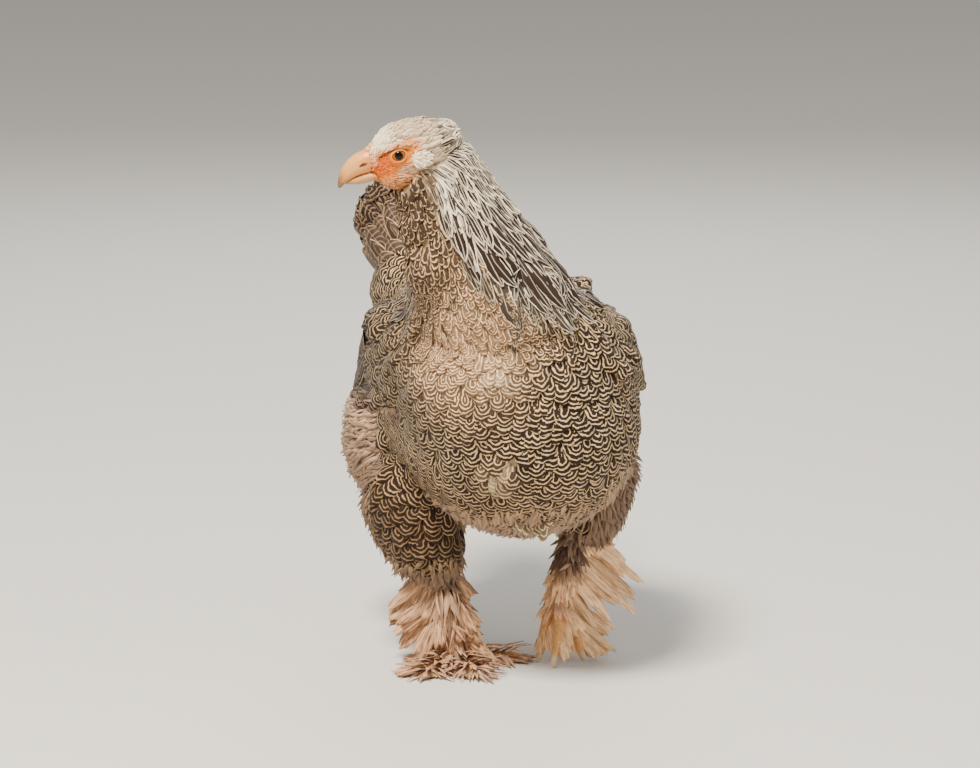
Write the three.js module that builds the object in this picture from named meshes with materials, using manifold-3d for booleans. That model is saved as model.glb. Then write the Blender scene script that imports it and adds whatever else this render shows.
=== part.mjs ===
// A silver pencilled Brahma hen at life size, walking slowly with her head turned to her right.
// Millimetres, +Z up. The bird faces -Y, her left side is +X, and she stands on Z = 0.
import * as THREE from "three";
import { mergeVertices } from "three/addons/utils/BufferGeometryUtils.js";
import Module from "manifold-3d";

const wasm = await Module();
wasm.setup();

const v = (x, y, z) => new THREE.Vector3(x, y, z);
const rad = THREE.MathUtils.degToRad;
const lerp = THREE.MathUtils.lerp;
const X_AXIS = v(1, 0, 0);
const Z_AXIS = v(0, 0, 1);

// Driving dimensions of the bird.
const GAP = 0.3;
const BODY = { front: -138, length: 296, halfWidth: 94, belly: 103, back: 290 };
const HEAD = { at: v(-99, -69, 401), yaw: rad(170), pitch: rad(22), halfWidth: 16 };
const BEAK = { tip: 48.7, mouth: -8 };
const EYE = { radius: 7, side: 10.8 };
const VANE = { thick: 0.6, droop: 0.1 };

// A seeded random source, so that every run gives the same bird.
function randomSource(seed) {
  let state = seed;
  return (low, high) => {
    state = (state * 1664525 + 1013904223) % 4294967296;
    return low + ((high - low) * state) / 4294967296;
  };
}
const vary = randomSource(7);
const varied = (length, share) => length * vary(1 - share, 1 + share);

// Solids from geometries, and back.
function solidOf(geometry) {
  const bare = geometry.clone();
  bare.deleteAttribute("normal");
  bare.deleteAttribute("uv");
  const merged = mergeVertices(bare, 1e-4);
  const index = merged.index.array;
  const corners = [];
  for (let i = 0; i < index.length; i += 3) {
    const [a, b, c] = [index[i], index[i + 1], index[i + 2]];
    if (a !== b && b !== c && a !== c) corners.push(a, b, c);
  }
  const make = (triVerts) =>
    new wasm.Manifold(
      new wasm.Mesh({ numProp: 3, vertProperties: merged.attributes.position.array, triVerts }),
    );
  const made = make(new Uint32Array(corners));
  if (made.volume() > 0) return made;
  const turned = corners.map((_, i) => corners[i % 3 === 1 ? i + 1 : i % 3 === 2 ? i - 1 : i]);
  return make(new Uint32Array(turned));
}

function geometryOf(solid) {
  const mesh = solid.getMesh();
  return new THREE.BufferGeometry()
    .setAttribute("position", new THREE.BufferAttribute(new Float32Array(mesh.vertProperties), 3))
    .setIndex(new THREE.BufferAttribute(new Uint32Array(mesh.triVerts), 1));
}

const union = (solids) => wasm.Manifold.union(solids);
const without = (solid, ...cutters) => cutters.reduce((left, cutter) => left.subtract(cutter), solid);

// Keeps the largest closed surface, which fills sealed hollows and drops loose scraps.
function largest(solid) {
  return solid.decompose().reduce((best, piece) => (piece.volume() > best.volume() ? piece : best));
}

// How far a ray from a point runs before it leaves an ellipsoid, or 0 where it misses it.
function reach({ at, size }, grow, from, ray) {
  const scale = v(...size.map((half) => 1 / (half + grow)));
  const start = from.clone().sub(at).multiply(scale);
  const step = ray.clone().multiply(scale);
  const a = step.dot(step);
  const b = start.dot(step);
  const inside = b * b - a * (start.dot(start) - 1);
  return inside > 0 ? Math.max((Math.sqrt(inside) - b) / a, 0) : 0;
}

// A closed solid whose oval rings follow a curve. The half sizes are given at even steps along it.
// Lobes swell its surface outwards, with a soft crease round each.
const LOBE_BLEND = 8;
function loft(shape, grow = 0) {
  const { path, wide, up = wide, down = up, side = X_AXIS, lobes = [] } = shape;
  const { blunt = 2.4, around = 16, along = 12 } = shape;
  const line = new THREE.CatmullRomCurve3(path);
  const sizes = new THREE.CatmullRomCurve3(wide.map((w, i) => v(w, up[i], down[i])));
  const ball = new THREE.SphereGeometry(1, around, along);
  const place = ball.attributes.position;
  const vertex = v(0, 0, 0);
  for (let i = 0; i < place.count; i++) {
    vertex.fromBufferAttribute(place, i);
    const t = THREE.MathUtils.clamp((1 - vertex.y) / 2, 0, 1);
    const full = (1 - Math.abs(vertex.y) ** blunt) ** (1 / blunt) || 0;
    const angle = Math.atan2(vertex.z, vertex.x);
    const ahead = line.getTangent(t);
    const across = side.clone().addScaledVector(ahead, -side.dot(ahead)).normalize();
    const top = across.clone().cross(ahead);
    const size = sizes.getPoint(t);
    const ringed = Math.abs(vertex.y) < 0.9999 ? 1 : 0;
    const centre = line.getPoint(t).addScaledVector(ahead, -vertex.y * grow);
    const w = size.x * full + grow;
    const h = (Math.sin(angle) > 0 ? size.y : size.z) * full + grow;
    const ray = across.multiplyScalar(Math.cos(angle) * w).addScaledVector(top, Math.sin(angle) * h);
    const bare = ray.length();
    ray.normalize();
    const reaches = [bare, ...lobes.map((lobe) => reach(lobe, grow, centre, ray))];
    const swollen = Math.hypot(...reaches.map((r) => r ** (LOBE_BLEND / 2))) ** (2 / LOBE_BLEND);
    vertex.copy(centre).addScaledVector(ray, swollen * ringed);
    place.setXYZ(i, vertex.x, vertex.y, vertex.z);
  }
  return solidOf(ball);
}

// An egg with its own three half sizes, turned about Y by tilt.
function egg({ at, size, tilt = 0, around = 14, along = 10 }, grow = 0) {
  const ball = new THREE.SphereGeometry(1, around, along)
    .scale(size[0] + grow, size[1] + grow, size[2] + grow)
    .rotateY(tilt)
    .translate(at.x, at.y, at.z);
  return solidOf(ball);
}

// Gives the nearest point of a solid's surface, with the smoothed outward normal there.
function surfaceOf(solid) {
  const geometry = geometryOf(solid);
  geometry.computeVertexNormals();
  const place = geometry.attributes.position;
  const normals = geometry.attributes.normal;
  const index = geometry.index.array;
  const faces = [];
  for (let i = 0; i < index.length; i += 3) {
    const ids = [index[i], index[i + 1], index[i + 2]];
    const [a, b, c] = ids.map((id) => v(0, 0, 0).fromBufferAttribute(place, id));
    const [na, nb, nc] = ids.map((id) => v(0, 0, 0).fromBufferAttribute(normals, id));
    const middle = a.clone().add(b).add(c).divideScalar(3);
    const spread = Math.max(middle.distanceTo(a), middle.distanceTo(b), middle.distanceTo(c));
    faces.push({ triangle: new THREE.Triangle(a, b, c), normals: [na, nb, nc], middle, spread });
  }
  const spot = v(0, 0, 0);
  return (point) => {
    let best = Infinity;
    let found = null;
    const nearest = v(0, 0, 0);
    for (const face of faces) {
      if (point.distanceTo(face.middle) - face.spread > best) continue;
      face.triangle.closestPointToPoint(point, spot);
      const away = spot.distanceTo(point);
      if (away < best) {
        best = away;
        found = face;
        nearest.copy(spot);
      }
    }
    const share = found.triangle.getBarycoord(nearest, v(0, 0, 0)) || v(1, 0, 0);
    const normal = v(0, 0, 0)
      .addScaledVector(found.normals[0], share.x)
      .addScaledVector(found.normals[1], share.y)
      .addScaledVector(found.normals[2], share.z)
      .normalize();
    return { point: nearest, normal };
  };
}

// A feather vane: a thin closed blade with a raised midrib that tapers to a rounded tip.
// Roll lifts its left edge and lowers its right one, so that neighbours lie over one another.
const VANE_RINGS = [
  { s: 0, w: 0.5 },
  { s: 0.5, w: 1 },
  { s: 0.84, w: 0.76 },
];
const VANE_STEPS = [...VANE_RINGS.map(({ s }) => s), 1];
function vane({ line, normals, halfWidth, roll = 0 }, grow = 0) {
  const points = [];
  const last = line.length - 1;
  const thick = VANE.thick + 2 * grow;
  const tipAhead = line[last].clone().sub(line[last - 1]).normalize();
  VANE_RINGS.forEach(({ w }, i) => {
    const ahead = line[i + 1].clone().sub(line[Math.max(i - 1, 0)]).normalize();
    const centre = line[i].clone().addScaledVector(ahead, i === 0 ? -grow : 0);
    const across = ahead.clone().cross(normals[i]).normalize();
    const half = halfWidth * w + grow;
    const drop = -half * VANE.droop;
    const tilt = half * roll;
    points.push(
      centre.clone().addScaledVector(across, -half).addScaledVector(normals[i], drop + tilt),
      centre.clone().addScaledVector(normals[i], thick),
      centre.clone().addScaledVector(across, half).addScaledVector(normals[i], drop - tilt),
      centre.clone().addScaledVector(normals[i], -thick),
    );
  });
  points.push(line[last].clone().addScaledVector(tipAhead, grow));
  const corners = [0, 1, 2, 0, 2, 3];
  const end = VANE_RINGS.length * 4;
  for (let ring = 0; ring < end; ring += 4) {
    const [l, t, r, b] = [ring, ring + 1, ring + 2, ring + 3];
    if (ring + 4 < end) {
      corners.push(l, l + 4, t + 4, l, t + 4, t, r, t, t + 4, r, t + 4, r + 4);
      corners.push(l, b + 4, l + 4, l, b, b + 4, r, b + 4, b, r, r + 4, b + 4);
    } else {
      corners.push(l, end, t, t, end, r, r, end, b, b, end, l);
    }
  }
  return solidOf(new THREE.BufferGeometry().setFromPoints(points).setIndex(corners));
}

// A vane laid on a surface from its root, rising from it by lift at the tip.
function laidVane({ surface, root, heading, length, halfWidth, roll, sink = 1.5, base = 1, lift = 6 }) {
  const line = [];
  const normals = [];
  let here = surface(root);
  let ahead = heading;
  VANE_STEPS.forEach((s, i) => {
    if (i > 0) {
      const run = (s - VANE_STEPS[i - 1]) * length;
      ahead = ahead.clone().addScaledVector(here.normal, -ahead.dot(here.normal)).normalize();
      here = surface(here.point.clone().addScaledVector(ahead, run));
    }
    const height = i === 0 ? -sink : base + lift * s;
    line.push(here.point.clone().addScaledVector(here.normal, height));
    normals.push(here.normal);
  });
  return { line, normals, halfWidth, roll };
}

// A vane that stands free along a bent line from its root.
function freeVane({ root, heading, normal, length, halfWidth, roll, bend = v(0, 0, 0) }) {
  const ahead = heading.clone().normalize();
  const line = VANE_STEPS.map((s) =>
    root.clone().addScaledVector(ahead, s * length).addScaledVector(bend, s * s),
  );
  const flat = normal.clone().addScaledVector(ahead, -normal.dot(ahead)).normalize();
  return { line, normals: VANE_STEPS.map(() => flat), halfWidth, roll };
}

const vanes = (list, grow) => list.map((one) => vane(one, grow));

// Torso: a deep, broad barrel, with the full breast, the cushion over the rump, and the fluff
// behind the thighs as lobes.
const bodyAt = (share) => BODY.front + BODY.length * share;
const middle = (BODY.back + BODY.belly) / 2;
const halfDepth = (BODY.back - BODY.belly) / 2;
const TORSO = {
  path: [
    v(1, bodyAt(0), middle - 10),
    v(3, bodyAt(0.18), middle - 6),
    v(4, bodyAt(0.38), middle - 2),
    v(3, bodyAt(0.6), middle + 2),
    v(-4, bodyAt(0.8), middle + 10),
    v(-8, bodyAt(1), middle + 26),
  ],
  wide: [0.86, 0.95, 1, 1, 0.92, 0.7].map((s) => s * BODY.halfWidth),
  up: [0.8, 0.9, 0.96, 0.94, 0.86, 0.62].map((s) => s * halfDepth),
  down: [0.74, 0.94, 0.98, 0.96, 0.92, 0.66].map((s) => s * halfDepth),
  lobes: [
    { at: v(-14, -70, 226), size: [80, 66, 66] },
    { at: v(40, 0, 240), size: [40, 80, 50] },
    { at: v(-46, 0, 240), size: [40, 80, 50] },
    { at: v(-6, 60, 246), size: [74, 76, 54] },
    { at: v(-18, 116, 268), size: [62, 48, 50] },
    { at: v(-48, 92, 158), size: [58, 62, 64] },
    { at: v(48, 86, 160), size: [64, 62, 64] },
  ],
  blunt: 2.5,
  around: 28,
  along: 22,
};
const torso = (grow) => loft(TORSO, grow);

// Neck: a cone of hackle over a slimmer core, leaning to the bird's right.
const NECK_CORE = {
  path: [
    v(-69, -69, 411),
    v(-71, -68, 392),
    v(-64, -66, 367),
    v(-53, -66, 340),
    v(-37, -62, 308),
    v(-22, -54, 272),
    v(-10, -44, 236),
  ],
  wide: [24, 35, 38, 42, 54, 68, 70],
  up: [17, 21, 29, 37, 48, 58, 58],
  down: [17, 22, 32, 44, 62, 76, 76],
  blunt: 3.4,
  around: 16,
  along: 13,
};

const torsoSolid = torso(0);
const neckCore = loft(NECK_CORE);
const torsoSurface = surfaceOf(torsoSolid);

// Wings: a pad draped on the flank, under tiers of coverts, secondaries and primaries.
const WING_LINE = [v(84, -64, 244), v(94, -24, 242), v(97, 26, 235), v(92, 76, 225), v(80, 116, 216)];
const WING_HALF_HEIGHTS = [24, 36, 37, 30, 14];
const WING_THICKNESS = [3, 5, 5, 4, 3];
const WING_BLUNT = 2.6;
function wingPad(side, grow) {
  const line = new THREE.CatmullRomCurve3(WING_LINE.map((p) => v(p.x * side, p.y, p.z)));
  const sizes = new THREE.CatmullRomCurve3(WING_HALF_HEIGHTS.map((h, i) => v(h, WING_THICKNESS[i], 0)));
  const ball = new THREE.SphereGeometry(1, 12, 9);
  const place = ball.attributes.position;
  const vertex = v(0, 0, 0);
  for (let i = 0; i < place.count; i++) {
    vertex.fromBufferAttribute(place, i);
    const t = THREE.MathUtils.clamp((1 - vertex.y) / 2, 0, 1);
    const full = (1 - Math.abs(vertex.y) ** WING_BLUNT) ** (1 / WING_BLUNT) || 0;
    const round = Math.hypot(vertex.x, vertex.z) || 1;
    const size = sizes.getPoint(t);
    const spot = line.getPoint(t).addScaledVector(Z_AXIS, (vertex.x / round) * (size.x * full + grow));
    const here = torsoSurface(spot);
    const height = (vertex.z / round) * (size.y * full + grow);
    vertex.copy(here.point).addScaledVector(here.normal, height);
    place.setXYZ(i, vertex.x, vertex.y, vertex.z);
  }
  return solidOf(ball);
}
const wingPads = { left: wingPad(1, 0), right: wingPad(-1, 0) };
const outside = surfaceOf(union([torsoSolid, neckCore, wingPads.left, wingPads.right]));

// Tiers of wing feathers, from the tips of the flight feathers forward to the bend of the wing.
const WING_TIERS = [
  { count: 2, from: v(96, 30, 212), to: v(98, 14, 204), length: 96, halfWidth: 8, base: 1, lift: 2 },
  { count: 6, from: v(80, 8, 266), to: v(98, 8, 214), length: 92, halfWidth: 12, base: 1.5, lift: 4 },
  { count: 6, from: v(78, -22, 268), to: v(96, -26, 212), length: 62, halfWidth: 12, base: 1.5, lift: 6 },
  { count: 5, from: v(76, -46, 264), to: v(92, -50, 218), length: 44, halfWidth: 12, base: 1.5, lift: 6 },
];
const WING_HEADINGS = { top: v(0, 1, -0.26), bottom: v(0, 1, -0.06) };
const WING = { roll: 0.16, sink: 2.5, flatter: 0.4, varies: 0.05 };
function wingVanes(side) {
  const mirror = (p) => v(p.x * side, p.y, p.z);
  return WING_TIERS.flatMap((tier) =>
    Array.from({ length: tier.count }, (_, i) => {
      const share = i / (tier.count - 1);
      return laidVane({
        surface: outside,
        root: mirror(tier.from.clone().lerp(tier.to, share)),
        heading: mirror(WING_HEADINGS.top.clone().lerp(WING_HEADINGS.bottom, share)).normalize(),
        length: varied(tier.length, WING.varies),
        halfWidth: tier.halfWidth,
        roll: -WING.roll * side,
        sink: WING.sink,
        base: tier.base,
        lift: tier.lift * (1 - WING.flatter * share),
      });
    }),
  );
}
const wingFeathers = { left: wingVanes(1), right: wingVanes(-1) };
const wing = (which, grow) =>
  union([wingPad(which === "left" ? 1 : -1, grow), ...vanes(wingFeathers[which], grow)]);

// Hackle: tiers of pointed feathers round the neck, open at the throat, longest over the shoulders.
const HACKLE = {
  tiers: 6,
  stretch: [0.08, 0.74],
  count: [9, 13],
  rootRadius: [24, 74],
  length: [34, 76],
  halfWidth: [8, 16],
  lift: [3, 5],
  heights: [0.8, 2],
  flare: 0.25,
  sway: 0.1,
  roll: 0.08,
  varies: 0.06,
  throat: rad(54),
};
const throatAngle = (t) => lerp(HEAD.yaw, rad(270), t);
function hackleVanes() {
  const line = new THREE.CatmullRomCurve3(NECK_CORE.path);
  const list = [];
  for (let tier = 0; tier < HACKLE.tiers; tier++) {
    const share = tier / (HACKLE.tiers - 1);
    const t = lerp(...HACKLE.stretch, share);
    const centre = line.getPoint(t);
    const down = line.getTangent(t);
    const count = Math.round(lerp(...HACKLE.count, share));
    for (let j = 0; j < count; j++) {
      const angle = ((j + (tier % 2) / 2) / count) * 2 * Math.PI;
      const turn = THREE.MathUtils.euclideanModulo(angle - throatAngle(t) + Math.PI, 2 * Math.PI) - Math.PI;
      if (Math.abs(turn) < HACKLE.throat) continue;
      const out = v(Math.cos(angle), Math.sin(angle), 0);
      const aside = v(-out.y, out.x, 0).multiplyScalar(vary(-HACKLE.sway, HACKLE.sway));
      list.push(
        laidVane({
          surface: outside,
          root: centre.clone().addScaledVector(out, lerp(...HACKLE.rootRadius, share)),
          heading: down.clone().addScaledVector(out, HACKLE.flare).add(aside),
          length: varied(lerp(...HACKLE.length, share), HACKLE.varies),
          halfWidth: lerp(...HACKLE.halfWidth, share),
          roll: vary(-HACKLE.roll, HACKLE.roll),
          base: HACKLE.heights[j % 2],
          lift: lerp(...HACKLE.lift, share),
        }),
      );
    }
  }
  return list;
}
const hackle = hackleVanes();
const neck = (grow) => union([loft(NECK_CORE, grow), ...vanes(hackle, grow)]);

// Tail: a short spread tail under two tiers of coverts, swung to the bird's right.
const TAIL = {
  root: v(-12, 110, 268),
  tip: v(-36, 184, 332),
  halfWidth: 34,
  halfHeight: 24,
  step: 1.5,
  roll: 0.14,
  bend: 4,
  shorter: 0.2,
  varies: 0.04,
  ridge: rad(9),
  edge: rad(112),
};
const TAIL_CORE = {
  path: [v(-8, 92, 256), v(-15, 120, 270), v(-23, 146, 288), v(-28, 162, 300)],
  wide: [56, 54, 44, 24],
  up: [37, 36, 29, 13],
  down: [40, 40, 32, 14],
  around: 12,
  along: 8,
};
const TAIL_TIERS = [
  { perSide: 7, back: 0.2, length: 84, halfWidth: 14, spread: 0.32, rise: 0 },
  { perSide: 6, back: 0.06, length: 68, halfWidth: 15, spread: 0.4, rise: 4 },
  { perSide: 5, back: -0.08, length: 52, halfWidth: 17, spread: 0.46, rise: 8 },
];
function tailVanes() {
  const axis = TAIL.tip.clone().sub(TAIL.root);
  const ahead = axis.clone().normalize();
  const across = X_AXIS.clone().addScaledVector(ahead, -ahead.x).normalize();
  const top = across.clone().cross(ahead);
  const list = [];
  for (const tier of TAIL_TIERS) {
    for (const side of [-1, 1]) {
      for (let i = 0; i < tier.perSide; i++) {
        const share = i / (tier.perSide - 1);
        const turn = lerp(TAIL.ridge, TAIL.edge, share);
        const out = across.clone().multiplyScalar(Math.sin(turn) * side).addScaledVector(top, Math.cos(turn));
        const root = TAIL.root
          .clone()
          .addScaledVector(axis, tier.back)
          .addScaledVector(across, Math.sin(turn) * side * TAIL.halfWidth)
          .addScaledVector(top, Math.cos(turn) * TAIL.halfHeight)
          .addScaledVector(out, tier.rise - TAIL.step * i);
        list.push(
          freeVane({
            root,
            heading: ahead.clone().addScaledVector(out, tier.spread),
            normal: out,
            length: varied(tier.length * (1 - TAIL.shorter * share), TAIL.varies),
            halfWidth: tier.halfWidth,
            roll: -TAIL.roll * side,
            bend: out.clone().multiplyScalar(-TAIL.bend),
          }),
        );
      }
    }
  }
  return list;
}
const tailFeathers = tailVanes();
const tail = (grow) => union([loft(TAIL_CORE, grow), ...vanes(tailFeathers, grow)]);

// Thighs: full, feathered drumsticks. The right one carries the bird; the left one is raised.
const THIGHS = {
  right: {
    path: [v(-58, 30, 160), v(-64, 26, 130), v(-60, 12, 98), v(-54, 4, 78), v(-50, 2, 62)],
    wide: [44, 46, 36, 30, 22],
    up: [50, 52, 40, 30, 22],
    down: [40, 40, 34, 28, 22],
  },
  left: {
    path: [v(64, 20, 170), v(68, 20, 145), v(66, 12, 118), v(62, 6, 98), v(58, 4, 84)],
    wide: [46, 46, 38, 32, 24],
    up: [50, 52, 42, 32, 22],
    down: [40, 40, 34, 28, 22],
  },
};
const thigh = (which, grow) => loft({ ...THIGHS[which], blunt: 2.6, around: 16, along: 11 }, grow);

// Shanks, toes and claws. Each foot has four toes, listed as inner, middle, outer and hind.
const LEGS = {
  right: {
    shank: { path: [v(-50, 4, 84), v(-46, 4, 56), v(-41, 6, 32), v(-38, 6, 12)], wide: [13, 12, 10, 10] },
    toes: {
      inner: [v(-38, 6, 5), v(-20, 2, 4.4), v(-4, -3, 4.4), v(8, -6, 3.6)],
      middle: [v(-38, 6, 5), v(-36, -14, 4.4), v(-34, -30, 4.4), v(-32, -40, 3.6)],
      outer: [v(-38, 6, 5), v(-52, -8, 4.4), v(-62, -20, 4.4), v(-68, -28, 3.6)],
      hind: [v(-38, 6, 5), v(-36, 22, 4), v(-34, 32, 4), v(-33, 38, 3.6)],
    },
  },
  left: {
    shank: { path: [v(57, 4, 104), v(51, -1, 84), v(45, -6, 66), v(41, -8, 52)], wide: [13, 12, 11, 10] },
    toes: {
      inner: [v(40, -8, 50), v(31, -10, 36), v(26, -12, 20), v(24, -14, 8)],
      middle: [v(40, -8, 50), v(37, -20, 38), v(34, -28, 24), v(31, -31, 11)],
      outer: [v(40, -8, 50), v(47, -14, 36), v(52, -18, 20), v(54, -20, 8)],
      hind: [v(40, -8, 48), v(46, 8, 36), v(50, 18, 22), v(52, 24, 9)],
    },
  },
};
const BALLS = {
  right: { at: v(-38, 5, 8), size: [13, 13, 8.4] },
  left: { at: v(40, -9, 47), size: [12, 11, 12] },
};
const TOE_SIZES = [6.8, 5.6, 6, 5, 5.2, 3.6];
const TOE_FLATNESS = 0.9;
const CLAW = { length: 13, root: 3, tipHeight: 0.5, bowAt: 0.55, bow: 1.4, sizes: [3.2, 2.8, 1.1] };
const shankCore = (which, grow) =>
  loft({ ...LEGS[which].shank, blunt: 3, around: 10, along: 7 }, grow);
const toeUp = TOE_SIZES.map((size) => size * TOE_FLATNESS);
const toe = (path, grow) =>
  loft({ path, wide: TOE_SIZES, up: toeUp, blunt: 3.2, around: 7, along: 6 }, grow);
function claw(toePath, grow) {
  const end = toePath[toePath.length - 1];
  const ahead = end.clone().sub(toePath[toePath.length - 2]).normalize();
  const tip = end.clone().addScaledVector(ahead, CLAW.length);
  tip.z = CLAW.tipHeight;
  const bow = end.clone().lerp(tip, CLAW.bowAt).addScaledVector(Z_AXIS, CLAW.bow);
  const path = [end.clone().addScaledVector(ahead, -CLAW.root), bow, tip];
  return loft({ path, wide: CLAW.sizes, around: 7, along: 5 }, grow);
}

// Foot feathers grow in fans. Each fan's roots run along a stretch of the shank or of a toe, and
// its headings swing evenly from the first to the last.
const FANS = {
  shank: {
    right: [
      {
        count: 5, length: 56, halfWidth: 13, stretch: [0.12, 0.3],
        swing: [v(-1, 0.3, -1), v(0.4, -0.5, -1)], facing: v(-0.3, -1, 0.6),
      },
      {
        count: 5, length: 52, halfWidth: 13, stretch: [0.45, 0.6],
        swing: [v(-1, 0.2, -0.5), v(0.7, -0.5, -0.8)], facing: v(-0.2, -1, 0.8),
      },
      {
        count: 4, length: 46, halfWidth: 12, stretch: [0.2, 0.5],
        swing: [v(-1, 0.7, -0.7), v(0.2, 0.8, -1)], facing: v(-0.3, 1, 0.7),
      },
    ],
    left: [
      {
        count: 5, length: 70, halfWidth: 9, stretch: [0.15, 0.6],
        swing: [v(1, 0, -0.75), v(0.85, -0.1, -1)], facing: v(0.3, -1, 0.5),
      },
      {
        count: 3, length: 56, halfWidth: 11, stretch: [0.2, 0.6],
        swing: [v(1, 0.5, -0.6), v(0.4, 0.7, -0.9)], facing: v(0.4, 1, 0.6),
      },
      {
        count: 2, length: 32, halfWidth: 11, stretch: [0.1, 0.25],
        swing: [v(0.6, -0.4, -1), v(-0.1, -0.4, -1)], facing: v(0, -1, 0.3),
      },
    ],
  },
  toes: {
    right: [
      {
        toe: "outer", count: 4, length: 36, halfWidth: 10, stretch: [0.1, 0.8],
        swing: [v(-1, 0.5, -0.1), v(-1, -0.2, -0.05)], facing: Z_AXIS,
      },
      {
        toe: "outer", count: 2, length: 28, halfWidth: 10, stretch: [0.4, 0.8],
        swing: [v(-0.2, -1, -0.08), v(-0.6, -0.8, -0.04)], facing: Z_AXIS,
      },
      {
        toe: "inner", count: 2, length: 20, halfWidth: 8, stretch: [0.35, 0.65],
        swing: [v(0.5, -0.8, -0.06), v(0.8, -0.5, -0.02)], facing: Z_AXIS,
      },
    ],
    left: [
      {
        toe: "outer", count: 4, length: 50, halfWidth: 9, stretch: [0.05, 0.6],
        swing: [v(1, 0, -0.75), v(0.55, -0.1, -1)], facing: v(0.3, -1, 0.4),
      },
    ],
  },
};
const FAN = { floorClearance: 1.2, varies: 0.08, roll: 0.1 };
function fanVanes(path, { count, stretch, swing, facing, length, halfWidth }) {
  const line = new THREE.CatmullRomCurve3(path);
  return Array.from({ length: count }, (_, i) => {
    const share = count > 1 ? i / (count - 1) : 0;
    const root = line.getPoint(lerp(...stretch, share));
    const heading = swing[0].clone().lerp(swing[1], share).normalize();
    const run = varied(length, FAN.varies);
    const toFloor = (root.z - FAN.floorClearance) / Math.max(-heading.z, 0.01);
    const roll = vary(-FAN.roll, FAN.roll);
    return freeVane({ root, heading, normal: facing, length: Math.min(run, toFloor), halfWidth, roll });
  });
}
const footFeathers = { shank: {}, toes: {} };
for (const [which, leg] of Object.entries(LEGS)) {
  footFeathers.shank[which] = FANS.shank[which].flatMap((fan) => fanVanes(leg.shank.path, fan));
  footFeathers.toes[which] = FANS.toes[which].flatMap((fan) => fanVanes(leg.toes[fan.toe], fan));
}
const shank = (which, grow) => union([shankCore(which, grow), ...vanes(footFeathers.shank[which], grow)]);
const foot = (which, grow) =>
  union([
    egg({ ...BALLS[which], around: 8, along: 6 }, grow),
    ...Object.values(LEGS[which].toes).map((path) => toe(path, grow)),
    ...vanes(footFeathers.toes[which], grow),
  ]);

// Head, in its own frame: +X runs along the mouth to the tip of the beak, and the eyes are at X = Z = 0.
const SKULL = {
  path: [v(-46, 0, -2), v(-30, 0, -3), v(-10, 0, -1), v(4, 0, -1), v(15, 0, 0), v(24, 0, 1)],
  wide: [0.85, 1, 1.04, 1, 0.76, 0.54].map((s) => s * HEAD.halfWidth),
  up: [13, 17, 20.5, 22, 19.5, 13],
  down: [16, 19, 22, 22, 17, 10],
  side: v(0, 1, 0),
  around: 18,
  along: 13,
  blunt: 2.6,
};
const CHEEK = { at: v(3, 0, -13), size: [17, 13.5, 12], around: 12, along: 8 };
const LID = { ring: 6.4, tube: 1.5, long: 1.06, high: 0.92, sink: 0.6 };
const EYE_SIZE = [EYE.radius, EYE.radius, EYE.radius];
const eye = (side, grow) => egg({ at: v(0, EYE.side * side, 0), size: EYE_SIZE }, grow);
function lid(side) {
  const ring = new THREE.TorusGeometry(LID.ring, LID.tube, 5, 14)
    .scale(LID.long, LID.high, 1)
    .rotateX(Math.PI / 2)
    .translate(0, side * (HEAD.halfWidth - LID.sink), 0);
  return solidOf(ring);
}
function head(grow) {
  return without(
    union([loft(SKULL, grow), egg(CHEEK, grow), ...(grow ? [] : [lid(1), lid(-1)])]),
    ...(grow ? [] : [eye(1, GAP), eye(-1, GAP)]),
  );
}
const BEAK_UPPER = {
  path: [v(12, 0, 2), v(22, 0, 2.4), v(33, 0, 1), v(42, 0, -2.2), v(BEAK.tip, 0, -7.5)],
  wide: [9, 8, 6, 4, 1.6],
  up: [12, 9, 5.6, 3.8, 1.6],
  down: [9.6, 9.6, 8.4, 5, 2],
  side: v(0, 1, 0),
  blunt: 3,
  around: 14,
  along: 12,
};
const BEAK_LOWER = {
  path: [v(10, 0, -10.5), v(24, 0, -9.6), v(34, 0, -8.8), v(44, 0, -7)],
  wide: [7.4, 6.2, 4.6, 2],
  up: [4, 4, 3.6, 2],
  down: [4.6, 4, 3, 1.6],
  side: v(0, 1, 0),
  around: 12,
  along: 8,
};
const NOSTRIL = { at: v(26.4, 7.4, 2), size: [2.6, 1.6, 0.9], tilt: rad(38) };
const onSide = (p, side) => v(p.x, p.y * side, p.z);
const nostril = (side) => egg({ ...NOSTRIL, at: onSide(NOSTRIL.at, side), around: 8, along: 6 });
const SLIT = { length: 60, width: 40 };
const mouthSlit = solidOf(
  new THREE.BoxGeometry(SLIT.length, SLIT.width, GAP).translate(BEAK.tip, 0, BEAK.mouth),
);
const COMB = {
  from: v(12, 0, 16),
  to: v(22, 0, 9),
  shares: [0, 0.33, 0.67, 1],
  rows: [
    { y: 0, rise: 1.2, size: 2.7 },
    { y: 3.4, rise: 0, size: 2.4 },
    { y: -3.4, rise: 0, size: 2.4 },
  ],
};
function comb() {
  const bumps = COMB.rows.flatMap((row) =>
    COMB.shares.map((share) => {
      const at = COMB.from.clone().lerp(COMB.to, share).add(v(0, row.y * (1 - 0.2 * share), row.rise));
      const size = [row.size, row.size, row.size * (1.15 - 0.25 * share)];
      return egg({ at, size, around: 6, along: 5 });
    }),
  );
  return union(bumps);
}
const EAR_LOBE = { at: v(-14, HEAD.halfWidth + 0.4, -8.5), size: [8, 3, 6.4], tilt: rad(-12), along: 8 };
const earLobe = (side, grow) => egg({ ...EAR_LOBE, at: onSide(EAR_LOBE.at, side) }, grow);

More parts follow.
